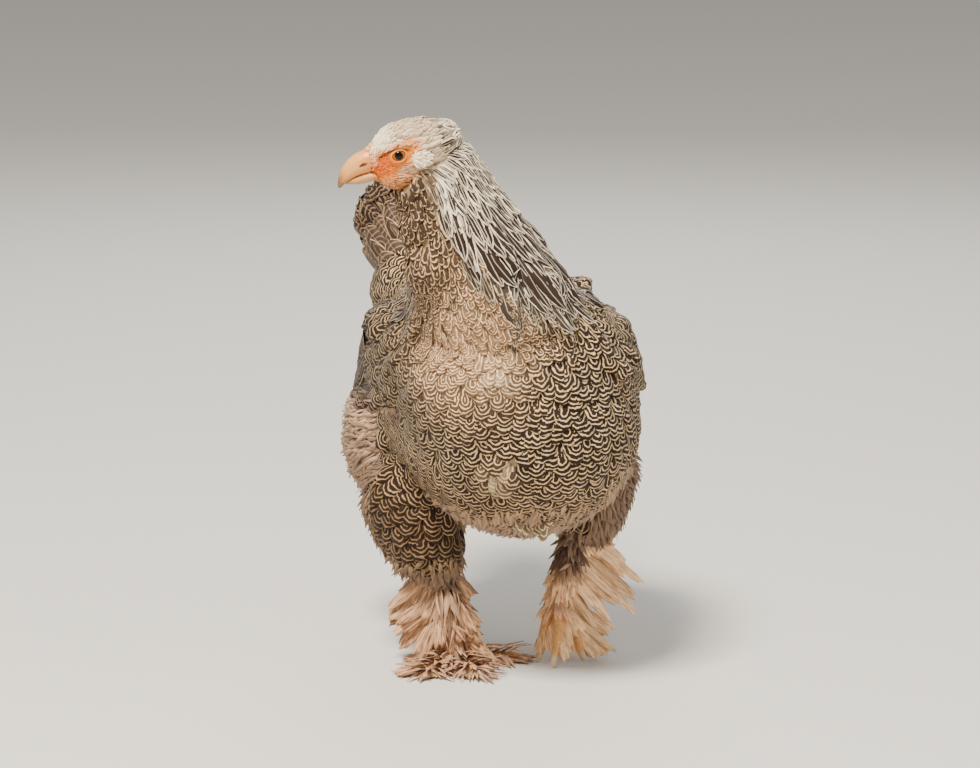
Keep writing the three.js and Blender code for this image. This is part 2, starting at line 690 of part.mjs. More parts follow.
// Materials of the parts.
const material = (color, roughness) => new THREE.MeshStandardMaterial({ color, roughness, metalness: 0 });
const PENCILLED = material("#6b5a4a", 0.9);
const HACKLE_DARK = material("#4a3d35", 0.85);
const TAIL_DARK = material("#40352f", 0.85);
const FLUFF = material("#8f7c6e", 0.95);
const FOOT_BROWN = material("#8a6650", 0.9);
const SKIN = material("#e08a5c", 0.6);
const HORN = material("#e0a868", 0.4);
const CLAW_HORN = material("#d8cbb0", 0.4);
const LOBE = material("#f0dcc0", 0.6);
const COMB_RED = material("#d9694a", 0.55);
const EYE_ORANGE = material("#b85a18", 0.15);

// Makes a named mesh of a solid, with its geometry centred on its own anchor point.
function part(name, solid, look) {
  const geometry = geometryOf(largest(solid));
  geometry.computeBoundingBox();
  const anchor = geometry.boundingBox.getCenter(v(0, 0, 0));
  geometry.translate(-anchor.x, -anchor.y, -anchor.z);
  geometry.computeVertexNormals();
  const mesh = new THREE.Mesh(geometry, look);
  mesh.name = name;
  mesh.position.copy(anchor);
  return mesh;
}

const headGroup = new THREE.Group();
headGroup.position.copy(HEAD.at);
headGroup.rotation.set(0, HEAD.pitch, HEAD.yaw, "ZYX");
headGroup.updateMatrix();
const toBird = (solid) => solid.transform(headGroup.matrix.elements);

const upper = without(loft(BEAK_UPPER), head(GAP), nostril(1), nostril(-1), mouthSlit);
const lower = without(loft(BEAK_LOWER), head(GAP), loft(BEAK_UPPER, GAP));
headGroup.add(
  part("head", head(0), SKIN),
  part("beak_upper", upper, HORN),
  part("beak_lower", lower, HORN),
  part("comb", without(comb(), head(GAP), loft(BEAK_UPPER, GAP)), COMB_RED),
  part("eye_left", eye(1, 0), EYE_ORANGE),
  part("eye_right", eye(-1, 0), EYE_ORANGE),
  part("ear_lobe_left", without(earLobe(1, 0), head(GAP)), LOBE),
  part("ear_lobe_right", without(earLobe(-1, 0), head(GAP)), LOBE),
);

const bodyCutters = [torso(GAP), wing("left", GAP), wing("right", GAP)];
const FLOOR = { width: 800, depth: 80 };
const headCutters = [head(GAP), earLobe(1, GAP), earLobe(-1, GAP)].map(toBird);
const floor = solidOf(
  new THREE.BoxGeometry(FLOOR.width, FLOOR.width, FLOOR.depth).translate(0, 0, -FLOOR.depth / 2),
);
const hen = new THREE.Group();
hen.add(
  headGroup,
  part("torso", torso(0), PENCILLED),
  part("neck", without(neck(0), ...bodyCutters, ...headCutters), HACKLE_DARK),
  part("tail", without(tail(0), ...bodyCutters), TAIL_DARK),
);
for (const which of ["left", "right"]) {
  const leg = LEGS[which];
  hen.add(
    part(`wing_${which}`, without(wing(which, 0), torso(GAP)), PENCILLED),
    part(`thigh_${which}`, without(thigh(which, 0), torso(GAP), wing(which, GAP)), FLUFF),
    part(`shank_${which}`, without(shank(which, 0), thigh(which, GAP), torso(GAP), floor), FOOT_BROWN),
    part(`foot_${which}`, without(foot(which, 0), shank(which, GAP), floor), FOOT_BROWN),
  );
  for (const [name, path] of Object.entries(leg.toes)) {
    hen.add(part(`claw_${which}_${name}`, without(claw(path, 0), foot(which, GAP), floor), CLAW_HORN));
  }
}

// The part's origin is on the floor, under the middle of its bounding box.
const bounds = new THREE.Box3().setFromObject(hen, true);
const centre = bounds.getCenter(v(0, 0, 0));
hen.position.set(-centre.x, -centre.y, -bounds.min.z);

export default hen;
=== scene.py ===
# %% [markdown]
# # A silver pencilled Brahma hen
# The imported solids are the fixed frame. This lesson gives them a skin, a coat of real mesh feathers,
# and finishes for the face, beak, eyes and feet, then a camera, lights and a pale floor.

# %% Load the frame
import math

import bpy
import numpy as np
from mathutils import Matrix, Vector
from mathutils.bvhtree import BVHTree


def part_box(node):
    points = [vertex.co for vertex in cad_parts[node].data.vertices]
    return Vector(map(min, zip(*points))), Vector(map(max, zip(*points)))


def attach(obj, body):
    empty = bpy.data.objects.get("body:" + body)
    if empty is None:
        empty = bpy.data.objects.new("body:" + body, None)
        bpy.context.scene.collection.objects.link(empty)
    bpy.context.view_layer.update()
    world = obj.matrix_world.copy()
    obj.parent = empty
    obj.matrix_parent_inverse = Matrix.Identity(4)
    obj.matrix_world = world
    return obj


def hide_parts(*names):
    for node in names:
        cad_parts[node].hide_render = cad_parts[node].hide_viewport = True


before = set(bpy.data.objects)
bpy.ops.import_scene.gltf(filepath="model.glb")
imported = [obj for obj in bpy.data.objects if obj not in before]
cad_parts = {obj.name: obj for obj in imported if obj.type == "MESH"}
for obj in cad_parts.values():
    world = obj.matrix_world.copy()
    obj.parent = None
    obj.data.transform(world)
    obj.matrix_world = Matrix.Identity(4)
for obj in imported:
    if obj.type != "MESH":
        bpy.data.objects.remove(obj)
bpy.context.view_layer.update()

print("CAD nodes:", len(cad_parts))

# %% [markdown]
# The bird's own measurements are easier to think about in millimetres from the spot between her feet
# where she was drawn. The left eye is a ball with a known centre, so it tells how far the drawing
# was moved to put the origin under the middle of the box.

# %% Millimetres of the bird
MM = 0.001
EYE_LEFT = np.array([-100.875, -79.636, 401.0])
low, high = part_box("eye_left")
SHIFT = (np.array(low) + np.array(high)) / 2 / MM - EYE_LEFT


def to_frame(points):
    """Bird millimetres to the frame's metres."""
    return (np.asarray(points, float) + SHIFT) * MM


def to_bird(points):
    """The frame's metres to bird millimetres."""
    return np.asarray(points, float) / MM - SHIFT


def unit(vectors):
    """Vectors brought to length 1."""
    return vectors / (np.linalg.norm(vectors, axis=-1, keepdims=True) + 1e-12)


def ramp(value, start, end):
    """Rises smoothly from 0 at start to 1 at end."""
    t = np.clip((np.asarray(value, float) - start) / (end - start), 0, 1)
    return t * t * (3 - 2 * t)


def bell(value, middle, width):
    """1 at the middle, falling off smoothly to both sides."""
    return np.exp(-(((value - middle) / width) ** 2))


print("drawing moved by", np.round(SHIFT, 2), "mm")

# %% [markdown]
# Her head is turned far to her right and a little down. In the head's own axes X runs along the
# mouth to the tip of the beak, Y to her left eye and Z up through the crown. Everything on the face
# is placed in these axes, so the markings stay on the face however the head is turned.

# %% The head's own axes
HEAD_AT = np.array([-99.0, -69.0, 401.0])
YAW, PITCH = math.radians(170), math.radians(22)
turn_z = np.array([[math.cos(YAW), -math.sin(YAW), 0], [math.sin(YAW), math.cos(YAW), 0], [0, 0, 1]])
turn_y = np.array([[math.cos(PITCH), 0, math.sin(PITCH)], [0, 1, 0], [-math.sin(PITCH), 0, math.cos(PITCH)]])
HEAD_AXES = turn_z @ turn_y


def to_head(points):
    """Bird millimetres to the head's own axes."""
    return (points - HEAD_AT) @ HEAD_AXES


def from_head(points):
    """The head's own axes to bird millimetres."""
    return np.asarray(points, float) @ HEAD_AXES.T + HEAD_AT


print("beak points along", np.round(HEAD_AXES[:, 0], 2))

# %% [markdown]
# Modelling by hand means: deselect everything, work on one object, and apply each modifier before
# the next step. The helpers do that. A piece that stands for solids starts as a merged copy of them.

# %% Working on one object
def only(*objects):
    """Selects nothing but these pieces. The first becomes the active one."""
    bpy.ops.object.select_all(action="DESELECT")
    for thing in objects:
        thing.select_set(True)
    bpy.context.view_layer.objects.active = objects[0]


def apply_modifier(piece, kind, **settings):
    """Adds a modifier, sets its fields and applies it."""
    modifier = piece.modifiers.new(kind.lower(), kind)
    for name, value in settings.items():
        setattr(modifier, name, value)
    only(piece)
    bpy.ops.object.modifier_apply(modifier=modifier.name)


def edit_all(piece, operator, **settings):
    """Runs one edit mode operator on the whole of a mesh."""
    only(piece)
    bpy.ops.object.mode_set(mode="EDIT")
    bpy.ops.mesh.select_all(action="SELECT")
    operator(**settings)
    bpy.ops.object.mode_set(mode="OBJECT")


def copy_of(name, *nodes):
    """One merged mesh made from copies of CAD nodes, which stay as they are."""
    copies = []
    for node in nodes:
        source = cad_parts[node]
        piece = source.copy()
        piece.data = source.data.copy()
        piece.parent = None
        for key in list(piece.keys()):
            del piece[key]
        bpy.context.scene.collection.objects.link(piece)
        copies.append(piece)
    only(*copies)
    if len(copies) > 1:
        bpy.ops.object.join()
    piece = bpy.context.view_layer.objects.active
    piece.name = piece.data.name = name
    piece.data.materials.clear()
    edit_all(piece, bpy.ops.mesh.remove_doubles, threshold=1e-6)
    return piece


def points_of(piece):
    """The vertices in the bird's millimetres."""
    points = np.empty(len(piece.data.vertices) * 3)
    piece.data.vertices.foreach_get("co", points)
    return to_bird(points.reshape(-1, 3))


def set_points(piece, points):
    """Moves the vertices to places in the bird's millimetres."""
    piece.data.vertices.foreach_set("co", to_frame(points).ravel())
    piece.data.update()


def normals_of(piece):
    """The vertex normals."""
    normals = np.empty(len(piece.data.vertices) * 3)
    piece.data.vertices.foreach_get("normal", normals)
    return normals.reshape(-1, 3)


def triangles_of(piece):
    """The corners of the triangles of a piece."""
    corners = np.empty(len(piece.data.polygons) * 3, int)
    piece.data.polygons.foreach_get("vertices", corners)
    return corners.reshape(-1, 3)


def remesh(piece, size):
    """Fuses a piece into one closed surface of even cells, in millimetres."""
    only(piece)
    piece.data.remesh_voxel_size = size * MM
    bpy.ops.object.voxel_remesh()


def smooth_shaded(piece):
    piece.data.polygons.foreach_set("use_smooth", np.ones(len(piece.data.polygons), bool))


def keep_largest_shell(piece, name):
    """Drops all loose shells but the one with the most vertices."""
    edit_all(piece, bpy.ops.mesh.separate, type="LOOSE")
    shells = sorted(bpy.context.selected_objects, key=lambda shell: -len(shell.data.vertices))
    for scrap in shells[1:]:
        bpy.data.objects.remove(scrap)
    shells[0].name = shells[0].data.name = name
    return shells[0]


print("helpers ready")

# %% [markdown]
# The skin is one closed surface under the whole coat. A copy of the solids of flesh is fused by a
# voxel remesh. The solids' own feathers are thin, so sinking the surface by about two millimetres
# and remeshing again dissolves them and leaves the body underneath. How deep it then sinks depends on
# the feathers that will lie on it. Balls at the nape, throat and shoulders fill it out where the
# solids stop short of the plumage.

# %% Which solid each spot belongs to
FLESH = ["torso", "neck", "tail", "head"] + [
    f"{form}_{side}" for form in ("wing", "thigh", "shank", "foot") for side in ("left", "right")
]
solid_points, solid_faces, solid_labels = [], [], []
count = 0
for number, node in enumerate(FLESH):
    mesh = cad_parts[node].data
    points = np.empty(len(mesh.vertices) * 3)
    mesh.vertices.foreach_get("co", points)
    solid_points.append(to_bird(points.reshape(-1, 3)))
    corners = np.array([list(face.vertices) for face in mesh.polygons]) + count
    solid_faces.append(corners)
    solid_labels += [number] * len(corners)
    count += len(mesh.vertices)
solid_labels = np.array(solid_labels)
solid_tree = BVHTree.FromPolygons(
    np.concatenate(solid_points).tolist(), np.concatenate(solid_faces).tolist()
)


def label_of(points):
    """The number of the solid nearest to each point."""
    return solid_labels[[solid_tree.find_nearest(point)[2] for point in points.tolist()]]


def is_label(labels, *forms):
    """Which labels belong to solids of these forms."""
    wanted = [number for number, node in enumerate(FLESH) if node.split("_")[0] in forms]
    return np.isin(labels, wanted)


print(len(solid_labels), "faces of flesh")

# %% The body's skin
BODY_VOXEL = 2.5
THINNING = 2.3
SOFTEN = 0.5


def ball(name, centre, radius):
    """A small sphere with its centre and radius in the bird's millimetres."""
    bpy.ops.object.select_all(action="DESELECT")
    bpy.ops.mesh.primitive_uv_sphere_add(segments=16, ring_count=10, radius=radius * MM, location=(0, 0, 0))
    made = bpy.context.object
    made.name = made.data.name = name
    edit_all(made, bpy.ops.transform.translate, value=Vector(to_frame(centre)))
    return made


MADE_APART = ("head", "shank", "foot")
skin = copy_of("skin", *[node for node in FLESH if node.split("_")[0] not in MADE_APART])
NAPE = [((-65, -67, 403), 19), ((-60, -67, 391), 23), ((-55, -66, 376), 27), ((-45, -64, 352), 33)]
THROAT = [((-85, -71, 389), 14), ((-88, -72, 371), 15), ((-84, -77, 346), 18), ((-76, -82, 318), 23)]
SHOULDER = [((44, -28, 268), 26), ((36, 0, 272), 27)]
padding = [ball("padding", centre, radius) for centre, radius in NAPE + THROAT + SHOULDER]
only(skin, *padding)
bpy.ops.object.join()
remesh(skin, BODY_VOXEL)


def sink(piece, depth):
    """Moves the vertices inwards along their normals, by one depth or by one each, in millimetres."""
    set_points(piece, points_of(piece) - normals_of(piece) * np.reshape(depth, (-1, 1)))


def coat_room(labels):
    """Room for the coat: deep on the body, shallow where the solids are slender."""
    depth = np.full(len(labels), 2.6)
    depth[is_label(labels, "neck", "tail")] = 0.6
    depth[is_label(labels, "wing")] = 1.2
    return depth


sink(skin, THINNING)
remesh(skin, BODY_VOXEL)
skin = keep_largest_shell(skin, "skin")
apply_modifier(skin, "SMOOTH", factor=SOFTEN, iterations=10)
sink(skin, coat_room(label_of(points_of(skin))))
apply_modifier(skin, "SMOOTH", factor=SOFTEN, iterations=8)
print("body skin:", len(skin.data.vertices), "vertices")

# %% [markdown]
# The solids of the feet are fans of feathers, so the legs under them are made anew: a string of balls
# along each shank and toe, fused by a fine remesh. Birds' legs carry horny scutes, which overlap like
# tiles down the front, so the surface rises and falls along the leg.

# %% The legs' skin
LEG_LINES = {
    "right": {
        "shank": [(-50, 4, 92), (-46, 4, 56), (-41, 6, 32), (-38, 6, 12)],
        "outer": [(-38, 6, 7), (-52, -8, 5), (-62, -20, 4.6), (-68, -28, 3.6)],
        "inner": [(-38, 6, 7), (-20, 2, 5), (-4, -3, 4.6), (8, -6, 3.6)],
        "middle": [(-38, 6, 7), (-36, -14, 5), (-34, -30, 4.6), (-32, -40, 3.6)],
        "hind": [(-38, 6, 7), (-36, 22, 5), (-34, 32, 4), (-33, 38, 3.6)],
    },
    "left": {
        "shank": [(58, 6, 112), (51, -1, 84), (45, -6, 66), (41, -8, 52)],
        "outer": [(40, -8, 50), (47, -14, 36), (52, -18, 20), (54, -20, 8)],
        "inner": [(40, -8, 50), (31, -10, 36), (26, -12, 20), (24, -14, 8)],
        "middle": [(40, -8, 50), (37, -20, 38), (34, -28, 24), (31, -31, 11)],
        "hind": [(40, -8, 48), (46, 8, 36), (50, 18, 22), (52, 24, 9)],
    },
}
LEG_RADII = {
    "shank": (8.5, 6.4),
    "outer": (4.8, 2.9),
    "inner": (4.8, 2.9),
    "middle": (5.2, 3.2),
    "hind": (4.2, 2.4),
}
BEAD_GAP, SMALLEST_BEAD, OVER_FLOOR = 2.4, 2.2, 0.6
SCUTE_LENGTH, SCUTE_RISE, SCUTE_DROP = 4.2, 0.55, 0.45


def along_line(points, share):
    """The spot at a share of a bent line's length."""
    points = np.array(points, float)
    lengths = np.concatenate([[0], np.cumsum(np.linalg.norm(np.diff(points, axis=0), axis=1))])
    return np.stack([np.interp(share * lengths[-1], lengths, points[:, axis]) for axis in range(3)], -1)


beads, bead_spots, bead_runs = [], [], []
for side, lines_of_leg in LEG_LINES.items():
    for form, path in lines_of_leg.items():
        length = np.linalg.norm(np.diff(np.array(path, float), axis=0), axis=1).sum()
        start, end = LEG_RADII[form]
        for share in np.linspace(0, 1, int(length / BEAD_GAP)):
            spot = along_line(path, share)
            radius = start * (1 - share) + end * share
            radius = min(radius, max(spot[2] - OVER_FLOOR, SMALLEST_BEAD))
            beads.append(ball("bead", spot, radius))
            bead_spots.append(spot)
            bead_runs.append(share * length)
legs = beads[0]
only(*beads)
bpy.ops.object.join()
legs.name = legs.data.name = "legs"
remesh(legs, 1.0)
apply_modifier(legs, "SMOOTH", factor=SOFTEN, iterations=6)
spots, normals = points_of(legs), normals_of(legs)
nearest = ((spots[:, None] - np.array(bead_spots)[None]) ** 2).sum(2).argmin(1)
along_scute = (np.array(bead_runs)[nearest] / SCUTE_LENGTH) % 1
front = ramp(normals[:, 2] * 0.6 - normals[:, 1], -0.2, 0.5)
step_up = (SCUTE_RISE * along_scute - SCUTE_DROP * ramp(along_scute, 0.8, 1.0)) * front
set_points(legs, spots + normals * step_up[:, None])
print("legs:", len(beads), "balls,", len(legs.data.vertices), "vertices")

# %% [markdown]
# The face shows bare skin, so it gets finer voxels than the body, small folds round the eye and over
# the cheek, and a brow that shades the eye. Body, legs and face are then joined into the one skin,
# with the end of the neck well inside the head.

# %% The face and the whole skin
face = copy_of("face", "head")
remesh(face, 0.9)
apply_modifier(face, "SMOOTH", factor=SOFTEN, iterations=5)
spots, normals = points_of(face), normals_of(face)
along, aside, up = to_head(spots).T
FEATHER_ROOM = 0.5


def brow_line(along, height):
    """The brow's height over the eye in the head's axes: an arch, highest 5 mm before the eye."""
    return height - 0.022 * (along - 5) ** 2


from_eye = np.hypot(along, up)
eye_folds = np.sin(from_eye * 1.9) * bell(from_eye, 9.5, 3.2) * 0.28
cheek_folds = np.sin(along * 1.1 + up * 0.8) * bell(up, -10, 6) * 0.22
over_brow = up - brow_line(along, 5.4)
brow = bell(over_brow, 1.2, 1.5) * 2.1 - bell(over_brow, -0.6, 0.8) * 0.5
brow = brow * ramp(np.abs(aside), 7, 12) * ramp(along, -13, -6) * ramp(-along, -18, -12)
set_points(face, spots + normals * (eye_folds + cheek_folds + brow - FEATHER_ROOM)[:, None])
only(skin, face, legs)
bpy.ops.object.join()
apply_modifier(skin, "TRIANGULATE")
smooth_shaded(skin)
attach(skin, "root")
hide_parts(*FLESH)
print("whole skin:", len(skin.data.polygons), "triangles")

# %% [markdown]
# Feathers are laid on this skin, so it must answer two questions fast: which point of it is nearest,
# and which way does the coat lie there. A search tree answers the first. For the second each vertex
# gets a rough direction from its place on the body, and the directions are then averaged with those
# of their neighbours, as a real coat turns smoothly from one part to the next.

# %% Asking the skin
skin_points, skin_faces, skin_normals = points_of(skin), triangles_of(skin), normals_of(skin)
skin_tree = BVHTree.FromPolygons(skin_points.tolist(), skin_faces.tolist())
skin_edges = np.concatenate([skin_faces[:, [0, 1]], skin_faces[:, [1, 2]], skin_faces[:, [2, 0]]])


def averaged(field, rounds):
    """Each vertex's value averaged with its neighbours', several times over."""
    for _ in range(rounds):
        total = field.copy()
        count = np.ones(len(field))
        for a, b in ((0, 1), (1, 0)):
            for axis in range(field.shape[1]):
                total[:, axis] += np.bincount(skin_edges[:, a], field[skin_edges[:, b], axis], len(field))
            count += np.bincount(skin_edges[:, a], minlength=len(field))
        field = total / count[:, None]
    return field


def along_surface(vectors, normals):
    """Turns vectors into the plane square to the normals."""
    return unit(vectors - (vectors * normals).sum(-1, keepdims=True) * normals)


soft_normals = unit(averaged(skin_normals, 6))


def land(points):
    """The nearest skin point, its face and its shares of the face's three corners."""
    hits = [skin_tree.find_nearest(point) for point in points.tolist()]
    spots = np.array([hit[0][:] for hit in hits])
    faces = np.array([hit[2] for hit in hits])
    a, b, c = (skin_points[skin_faces[faces, corner]] for corner in range(3))
    u, w, r = b - a, c - a, spots - a
    uu, uw, ww = (u * u).sum(1), (u * w).sum(1), (w * w).sum(1)
    ru, rw = (r * u).sum(1), (r * w).sum(1)
    area = uu * ww - uw * uw + 1e-12
    second = np.clip((ww * ru - uw * rw) / area, 0, 1)
    third = np.clip((uu * rw - uw * ru) / area, 0, 1)
    shares = np.stack([1 - second - third, second, third], 1)
    return spots, faces, shares


def read(field, faces, shares):
    """A vertex field read at landed points."""
    return sum(field[skin_faces[faces, corner]] * shares[:, corner : corner + 1] for corner in range(3))


print("skin tree over", len(skin_faces), "triangles")

# %% The lie of the coat
skin_labels = label_of(skin_points)
NECK_TOP, NECK_BOTTOM = (-69, -69, 411), (-10, -44, 236)
NECK_BENDS = [(-71, -68, 392), (-64, -66, 367), (-53, -66, 340), (-37, -62, 308), (-22, -54, 272)]
NECK_LINE = np.array([NECK_TOP, *NECK_BENDS, NECK_BOTTOM], float)
BEAK_TIP = np.array([34, 0, -3])
LIE_ROUNDS = 30


def neck_axis(points):
    """The neck's centre at each height, and the direction down it."""
    upwards = NECK_LINE[::-1]
    centre, below = (
        np.stack([np.interp(height, upwards[:, 2], upwards[:, axis]) for axis in range(3)], 1)
        for height in (points[:, 2], points[:, 2] - 12)
    )
    return centre, unit(below - centre + np.array([0, 0, -1e-6]))


def lie_at(points, labels):
    """A rough direction from root to tip for each spot, from the part of the body that it is on."""
    front = ramp(-points[:, 1], 30, 120)[:, None]
    lie = np.array([0.0, 1.0, -0.5]) * (1 - front) + np.array([0.0, 0.2, -1.0]) * front
    centre, down = neck_axis(points)
    out = unit((points - centre) * [1, 1, 0])
    neck = is_label(labels, "neck")
    lie[neck] = (down + out * 0.35)[neck]
    thigh = is_label(labels, "thigh")
    lie[thigh] = [0, 0.35, -1]
    tail = is_label(labels, "tail")
    lie[tail] = [-0.24, 0.74, 0.64]
    legs = is_label(labels, "shank", "foot")
    lie[legs] = [0, -0.1, -1]
    head = is_label(labels, "head")
    lie[head] = ((to_head(points) - BEAK_TIP) @ HEAD_AXES.T)[head]
    return unit(lie)


skin_lie = along_surface(lie_at(skin_points, skin_labels), soft_normals)
skin_lie = along_surface(averaged(skin_lie, LIE_ROUNDS), soft_normals)
print("lie of the coat set at", len(skin_lie), "points")

# %% [markdown]
# Each coat piece carries a map named OFBake, on which its colours can be baked. Every feather gets a tiny
# patch of it, placed where its root sits on an unwrap of the skin. A lighter copy of the skin is unwrapped
# for this, as only the places count.

# %% An unwrap of the skin
unwrap = skin.copy()
unwrap.data = skin.data.copy()
bpy.context.scene.collection.objects.link(unwrap)
apply_modifier(unwrap, "DECIMATE", ratio=0.05)
edit_all(unwrap, bpy.ops.uv.smart_project, angle_limit=math.radians(66), island_margin=0.003)
apply_modifier(unwrap, "TRIANGULATE")
unwrap_points, unwrap_faces = points_of(unwrap), triangles_of(unwrap)
unwrap_uv = np.empty(len(unwrap.data.loops) * 2)
unwrap.data.uv_layers.active.data.foreach_get("uv", unwrap_uv)
unwrap_uv = unwrap_uv.reshape(-1, 3, 2)
unwrap_tree = BVHTree.FromPolygons(unwrap_points.tolist(), unwrap_faces.tolist())
bpy.data.objects.remove(unwrap)
BAKE_PATCH = 0.003


def bake_place(points):
    """Where on the map a feather's patch goes, from the unwrapped triangle nearest to its root."""
    hits = [unwrap_tree.find_nearest(point) for point in points.tolist()]
    spots = np.array([hit[0][:] for hit in hits])
    faces = np.array([hit[2] for hit in hits])
    corners = unwrap_points[unwrap_faces[faces]]
    near = 1 / (np.linalg.norm(corners - spots[:, None], axis=2) + 0.05)
    near /= near.sum(1, keepdims=True)
    uv = (unwrap_uv[faces] * near[:, :, None]).sum(1)
    return np.clip(uv, BAKE_PATCH, 1 - BAKE_PATCH)


print("unwrap of", len(unwrap_faces), "triangles")

# %% [markdown]
# A finish is built from nodes. One small function adds a node with its settings and links, and one
# turns the sRGB hex values that a colour picker shows into the linear values that the shader wants.

# %% Colours and nodes
def linear(hex_value):
    """The linear values of an sRGB hex colour."""
    channels = np.array([int(hex_value[i : i + 2], 16) / 255 for i in (1, 3, 5)])
    return np.where(channels <= 0.04045, channels / 12.92, ((channels + 0.055) / 1.055) ** 2.4)


def opaque(hex_value):
    """The same with full alpha, for a colour socket."""
    return tuple(linear(hex_value)) + (1,)


def add(tree, kind, inputs=None, **settings):
    """A node with its settings, and its inputs set to values or linked to other nodes' outputs."""
    node = tree.nodes.new(kind)
    for name, value in settings.items():
        setattr(node, name, value)
    for socket, value in (inputs or {}).items():
        if isinstance(value, bpy.types.NodeSocket):
            tree.links.new(value, node.inputs[socket])
        else:
            node.inputs[socket].default_value = value
    return node


def new_finish(name, **sockets):
    """A material, its node tree and its shader. Settings name the shader's inputs."""
    finish = bpy.data.materials.new(name)
    finish.use_nodes = True
    shader = finish.node_tree.nodes["Principled BSDF"]
    for socket, value in sockets.items():
        shader.inputs[socket.replace("_", " ")].default_value = value
    return finish, finish.node_tree, shader


def maths(tree, operation, *values, clamp=False):
    """One step of arithmetic on two values."""
    settings = {"operation": operation, "use_clamp": clamp}
    return add(tree, "ShaderNodeMath", dict(enumerate(values)), **settings).outputs[0]


def step(tree, value, start, end):
    """Rises smoothly from 0 to 1 between two values."""
    inputs = {"Value": value, "From Min": start, "From Max": end}
    return add(tree, "ShaderNodeMapRange", inputs, interpolation_type="SMOOTHSTEP").outputs["Result"]


def noise(tree, size, detail=2.0):
    """Noise whose blobs are about size millimetres across."""
    vector = add(tree, "ShaderNodeTexCoord").outputs["Object"]
    inputs = {"Vector": vector, "Scale": 1 / (size * MM), "Detail": detail}
    return add(tree, "ShaderNodeTexNoise", inputs).outputs["Fac"]


MIX_SHARE, MIX_FIRST, MIX_SECOND, MIX_COLOUR = 0, 6, 7, 2


def blend(tree, share, first, second, mode="MIX"):
    """Mixes two colours. The Mix node's sockets share their names, so they go by number."""
    inputs = {MIX_SHARE: share, MIX_FIRST: first, MIX_SECOND: second}
    return add(tree, "ShaderNodeMix", inputs, data_type="RGBA", blend_type=mode).outputs[MIX_COLOUR]


def read_attribute(tree, name):
    """Reads an attribute of the mesh by its name."""
    return add(tree, "ShaderNodeAttribute", attribute_name=name)


def parts_of(tree, name):
    """The three numbers of a vector attribute."""
    return add(tree, "ShaderNodeSeparateXYZ", {0: read_attribute(tree, name).outputs["Vector"]}).outputs


def paint(tree, shader, colour, shade):
    """The base colour: a colour made lighter and darker by a shade."""
    grey = add(tree, "ShaderNodeCombineColor", {0: shade, 1: shade, 2: shade}).outputs[0]
    tree.links.new(blend(tree, 1.0, colour, grey, "MULTIPLY"), shader.inputs["Base Color"])


def emboss(tree, shader, height, strength, depth):
    """Relief whose full depth is given in millimetres."""
    inputs = {"Height": height, "Strength": strength, "Distance": depth * MM}
    tree.links.new(add(tree, "ShaderNodeBump", inputs).outputs[0], shader.inputs["Normal"])


print("finish helpers ready")

# %% [markdown]
# Keratin feathers are matt to silky. The markings of this breed are drawn inside each feather, so the
# finish reads the feather's own measures: millimetres from the shaft, millimetres past the middle of
# the rounded tip, and the half width there. Pencilling is a set of dark lines that follow the
# feather's outline. Lacing is a pale rim round a dark feather.

# %% The finish of a marked feather
ARC_POWER = 1.8
WANDER_SIZE = 4.8
TURN = 2 * math.pi


def marked_vane_finish(name, roughness, barb_gap):
    """Barbs are under half a millimetre apart, too fine to show, so barb_gap draws them coarser."""
    finish, tree, shader = new_finish(name, Roughness=roughness, Sheen_Weight=0.04, Sheen_Roughness=0.5)
    shader.inputs["Specular IOR Level"].default_value = 0.18
    from_shaft, past_tip, half_width = parts_of(tree, "vane")
    line_gap, rim_width, pencilling = parts_of(tree, "mark")
    ground = read_attribute(tree, "ground").outputs["Color"]
    ink = read_attribute(tree, "ink")
    wander = read_attribute(tree, "wander").outputs["Fac"]
    across = maths(tree, "ABSOLUTE", from_shaft)
    past = maths(tree, "MAXIMUM", past_tip, 0.0)
    powers = [maths(tree, "POWER", part, ARC_POWER) for part in (across, past)]
    radius = maths(tree, "POWER", maths(tree, "ADD", *powers), 1 / ARC_POWER)
    stray = maths(tree, "MULTIPLY", maths(tree, "SUBTRACT", noise(tree, WANDER_SIZE), 0.5), wander)
    strayed = maths(tree, "ADD", radius, stray)
    turns = maths(tree, "MULTIPLY", maths(tree, "DIVIDE", strayed, line_gap), TURN)
    lines = step(tree, maths(tree, "SINE", turns), -0.9, -0.25)
    edge = maths(tree, "SUBTRACT", half_width, across)
    rim = maths(tree, "ADD", edge, maths(tree, "MULTIPLY", stray, 0.5))
    inner = step(tree, maths(tree, "SUBTRACT", rim, rim_width), -0.2, 0.25)
    shaft = maths(tree, "ADD", 0.55, maths(tree, "MULTIPLY", step(tree, across, 0.15, 0.45), 0.45))
    solid = maths(tree, "MULTIPLY", inner, shaft)
    pencilled = maths(tree, "MULTIPLY", pencilling, lines)
    plain = maths(tree, "MULTIPLY", maths(tree, "SUBTRACT", 1.0, pencilling), solid)
    marked = maths(tree, "ADD", pencilled, plain)
    amount = maths(tree, "MULTIPLY", marked, ink.outputs["Alpha"], clamp=True)
    slope = maths(tree, "SUBTRACT", across, past_tip)
    barbs = maths(tree, "SINE", maths(tree, "MULTIPLY", slope, TURN / barb_gap))
    dust = maths(tree, "ADD", 0.75, maths(tree, "MULTIPLY", noise(tree, 14), 0.5))
    shade = maths(tree, "ADD", maths(tree, "MULTIPLY", barbs, 0.05), dust)
    paint(tree, shader, blend(tree, amount, ground, ink.outputs["Color"]), shade)
    relief = maths(tree, "ADD", maths(tree, "MULTIPLY", barbs, 0.5), maths(tree, "MULTIPLY", shaft, -1.5))
    emboss(tree, shader, relief, 0.35, 0.3)
    return finish


